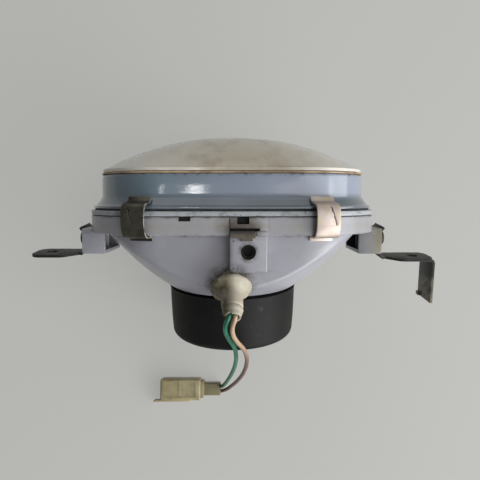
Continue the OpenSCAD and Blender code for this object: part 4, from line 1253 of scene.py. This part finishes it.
# %% Arm of a bracket
bracket_t, arm_hole_x, arm_hole_r, pivot_hole_r = 1.5, 109, 3.2, 3.08
across_x, along_x = Matrix.Rotation(math.pi / 2, 4, "Y"), Matrix.Rotation(math.pi / 2, 4, "X")
tip_x, tip_z, tip_r = 113, 4, 6
face_line = [tuple(q) for q in rounded([
    (84, 8.5), (89, 8.5), (90, 5.5), (100, tip_z + tip_r), (tip_x, tip_z + tip_r)], 2.4)]
face_line += [(tip_x + tip_r * math.sin(a), tip_z + tip_r * math.cos(a))
              for a in [math.pi / 12 * i for i in range(1, 7)]]


def arm_line(drop):
    """The arm from the side, with its end a drop below the ear's middle."""
    return rounded([(88.65, 7.2), (87.45, 5.8), (86.05, 5), (86.05, 4.6 - drop),
                    (86.65, 2.6 - drop), (88.65, 1 - drop), (99.05, -drop), (119, -drop)], 1.6, 4)


def arm(drop):
    """The bent sheet, cut to the outline that it has from above."""
    keep = bmesh.new()
    raised(keep, [keep.verts.new((x, z, -40)) for x, z in face_line]
           + [keep.verts.new((x, -z, -40)) for x, z in face_line[::-1]], 80)
    bmesh.ops.transform(keep, matrix=along_x, verts=keep.verts)
    return carve(bent_sheet(arm_line(drop), bracket_t, 24), [keep], "INTERSECT")


print("the arms are", bracket_t, "mm thick")

# %% Brackets
on_pivot = lamp_to_row @ Matrix.Translation(pivot_lamp) @ Matrix.Rotation(math.radians(5), 4, "X")
for side, across, drop in (("left", -1, 9.6), ("right", 1, 12)):
    bm = arm(drop)
    if across > 0:
        leg_x, leg_end = 118.25, -drop - 26
        leg = bent_sheet(rounded([(108, -drop), (leg_x, -drop), (leg_x, leg_end)], 2.2, 5),
                         bracket_t, 20)
        toe = blocks(((116.4, leg_end, -10), (118, leg_end + 2.2, -6)))
        bm = carve(bm, [joined(leg, toe)], "UNION")
    bores = bmesh.new()
    cylinder(bores, arm_hole_r, -8, 8, Matrix.Translation((arm_hole_x, -drop, 0)) @ along_x)
    cylinder(bores, pivot_hole_r, 80, 92, across_x)
    bm = carve(bm, [bores])
    bmesh.ops.dissolve_limit(bm, angle_limit=math.radians(0.5), verts=bm.verts, edges=bm.edges)
    soften(bm, 0.25, 2, 40, worn=1)
    if across < 0:
        mirrored(bm)
    name = side + "_bracket"
    piece(bm, name + "_pressing", name, [name], "bracket_steel", [bracket_steel, rubbed_steel],
          on_pivot)

# %% [markdown]
# ## Pivot screws
# Each bracket turns on a screw with a pan head. The cross in the head is two blocks, each
# cut on its own, because a boolean wants a cutter that doesn't cross itself.

# %% Pivot screws
shank_r, shank_end, head_low, head_high = 3, 77.1, 88, 90.6
for side, across in (("left", -1), ("right", 1)):
    head = rounded([(shank_r, head_low), (4.5, head_low), (4.5, 89.2), (3.6, 90.3),
                    (1.8, head_high), (0, head_high)], 0.5)
    bm = turned([(0, shank_end), (shank_r, shank_end)] + [tuple(q) for q in head], 48)
    bm = carve(bm, [blocks(((-0.5, -2.4, 89.6), (0.5, 2.4, 91))),
                    blocks(((-2.4, -0.5, 89.6), (2.4, 0.5, 91)))])
    on_screw = (lamp_to_row @ Matrix.Translation(pivot_lamp)
                @ Matrix.Rotation(across * math.pi / 2, 4, "Y"))
    name = side + "_pivot_screw"
    piece(bm, name + "_turned", "lamp", [name], "screw_steel", [dark_zinc], on_screw)

# %% [markdown]
# ## The connector
# The two wires end in a small nylon plug housing. A moulded one has rounded edges, a
# sunken panel with ribs, a collar where it narrows to the neck, and an open mouth with a
# cavity for each terminal. It lies flat, so its blocks are drawn in the frame's own axes.

# %% Connector
conn_y, conn_h, panel_z = -93.2, 11, 10.75


def on_conn(x_low, x_high, half_w, z_low, z_high):
    """The corners of a block that lies evenly across the connector's middle."""
    return (x_low, conn_y - half_w, z_low), (x_high, conn_y + half_w, z_high)


bm = blocks(on_conn(-48.8, -21.8, 7, 0, conn_h))
soften(bm, 1.3, 3)
panels = blocks(on_conn(-45.5, -36.5, 4.8, panel_z, 12), on_conn(-35.3, -25.5, 4.8, panel_z, 12))
bm = carve(bm, [panels, blocks(on_conn(-50, -46.4, 5.4, 1.6, 9.4))])
collar = blocks(on_conn(-24.8, -19.6, 5.6, 0.2, 10))
soften(collar, 0.9, 3)
neck = blocks(on_conn(-22.8, -8.4, 4, 0.4, 9))
soften(neck, 0.7, 3)
bm = carve(bm, [collar, neck], "UNION")
cavities = blocks(((-49, conn_y + 0.2, 4), (-25.8, conn_y + 3, 6.8)),
                  ((-49, conn_y - 3, 4), (-25.8, conn_y - 0.2, 6.8)),
                  on_conn(-19, -8, 3, 1.4, 8))
bm = carve(bm, [cavities])
# The cavities' insides take the painted shade.
paint_shade_inside(bm, *on_conn(-46.6, -25.6, 5.6, 1.4, 9.6))
moulding = piece(bm, "connector_moulding", "lamp", ["connector_housing"], "connector_nylon",
                 [nylon, nylon_cavity_shade], row_mm, angle=40)

# %% [markdown]
# ## The latch
# A thin latch of the same nylon lies along the connector's side.

# %% Connector latch
latch_y = conn_y - 8
latch = bent_sheet(rounded([(-53.8, latch_y - 0.5), (-52.6, latch_y), (-50.4, latch_y),
                            (-29.8, latch_y)], 0.8, 4), 1.2, 5)
bmesh.ops.translate(latch, verts=latch.verts, vec=(0, 0, 3.5))
soften(latch, 0.3, 2)
tab = piece(latch, "connector_latch_tab", "connector_latch", ["connector_latch"], "latch_nylon",
            [nylon], row_mm)
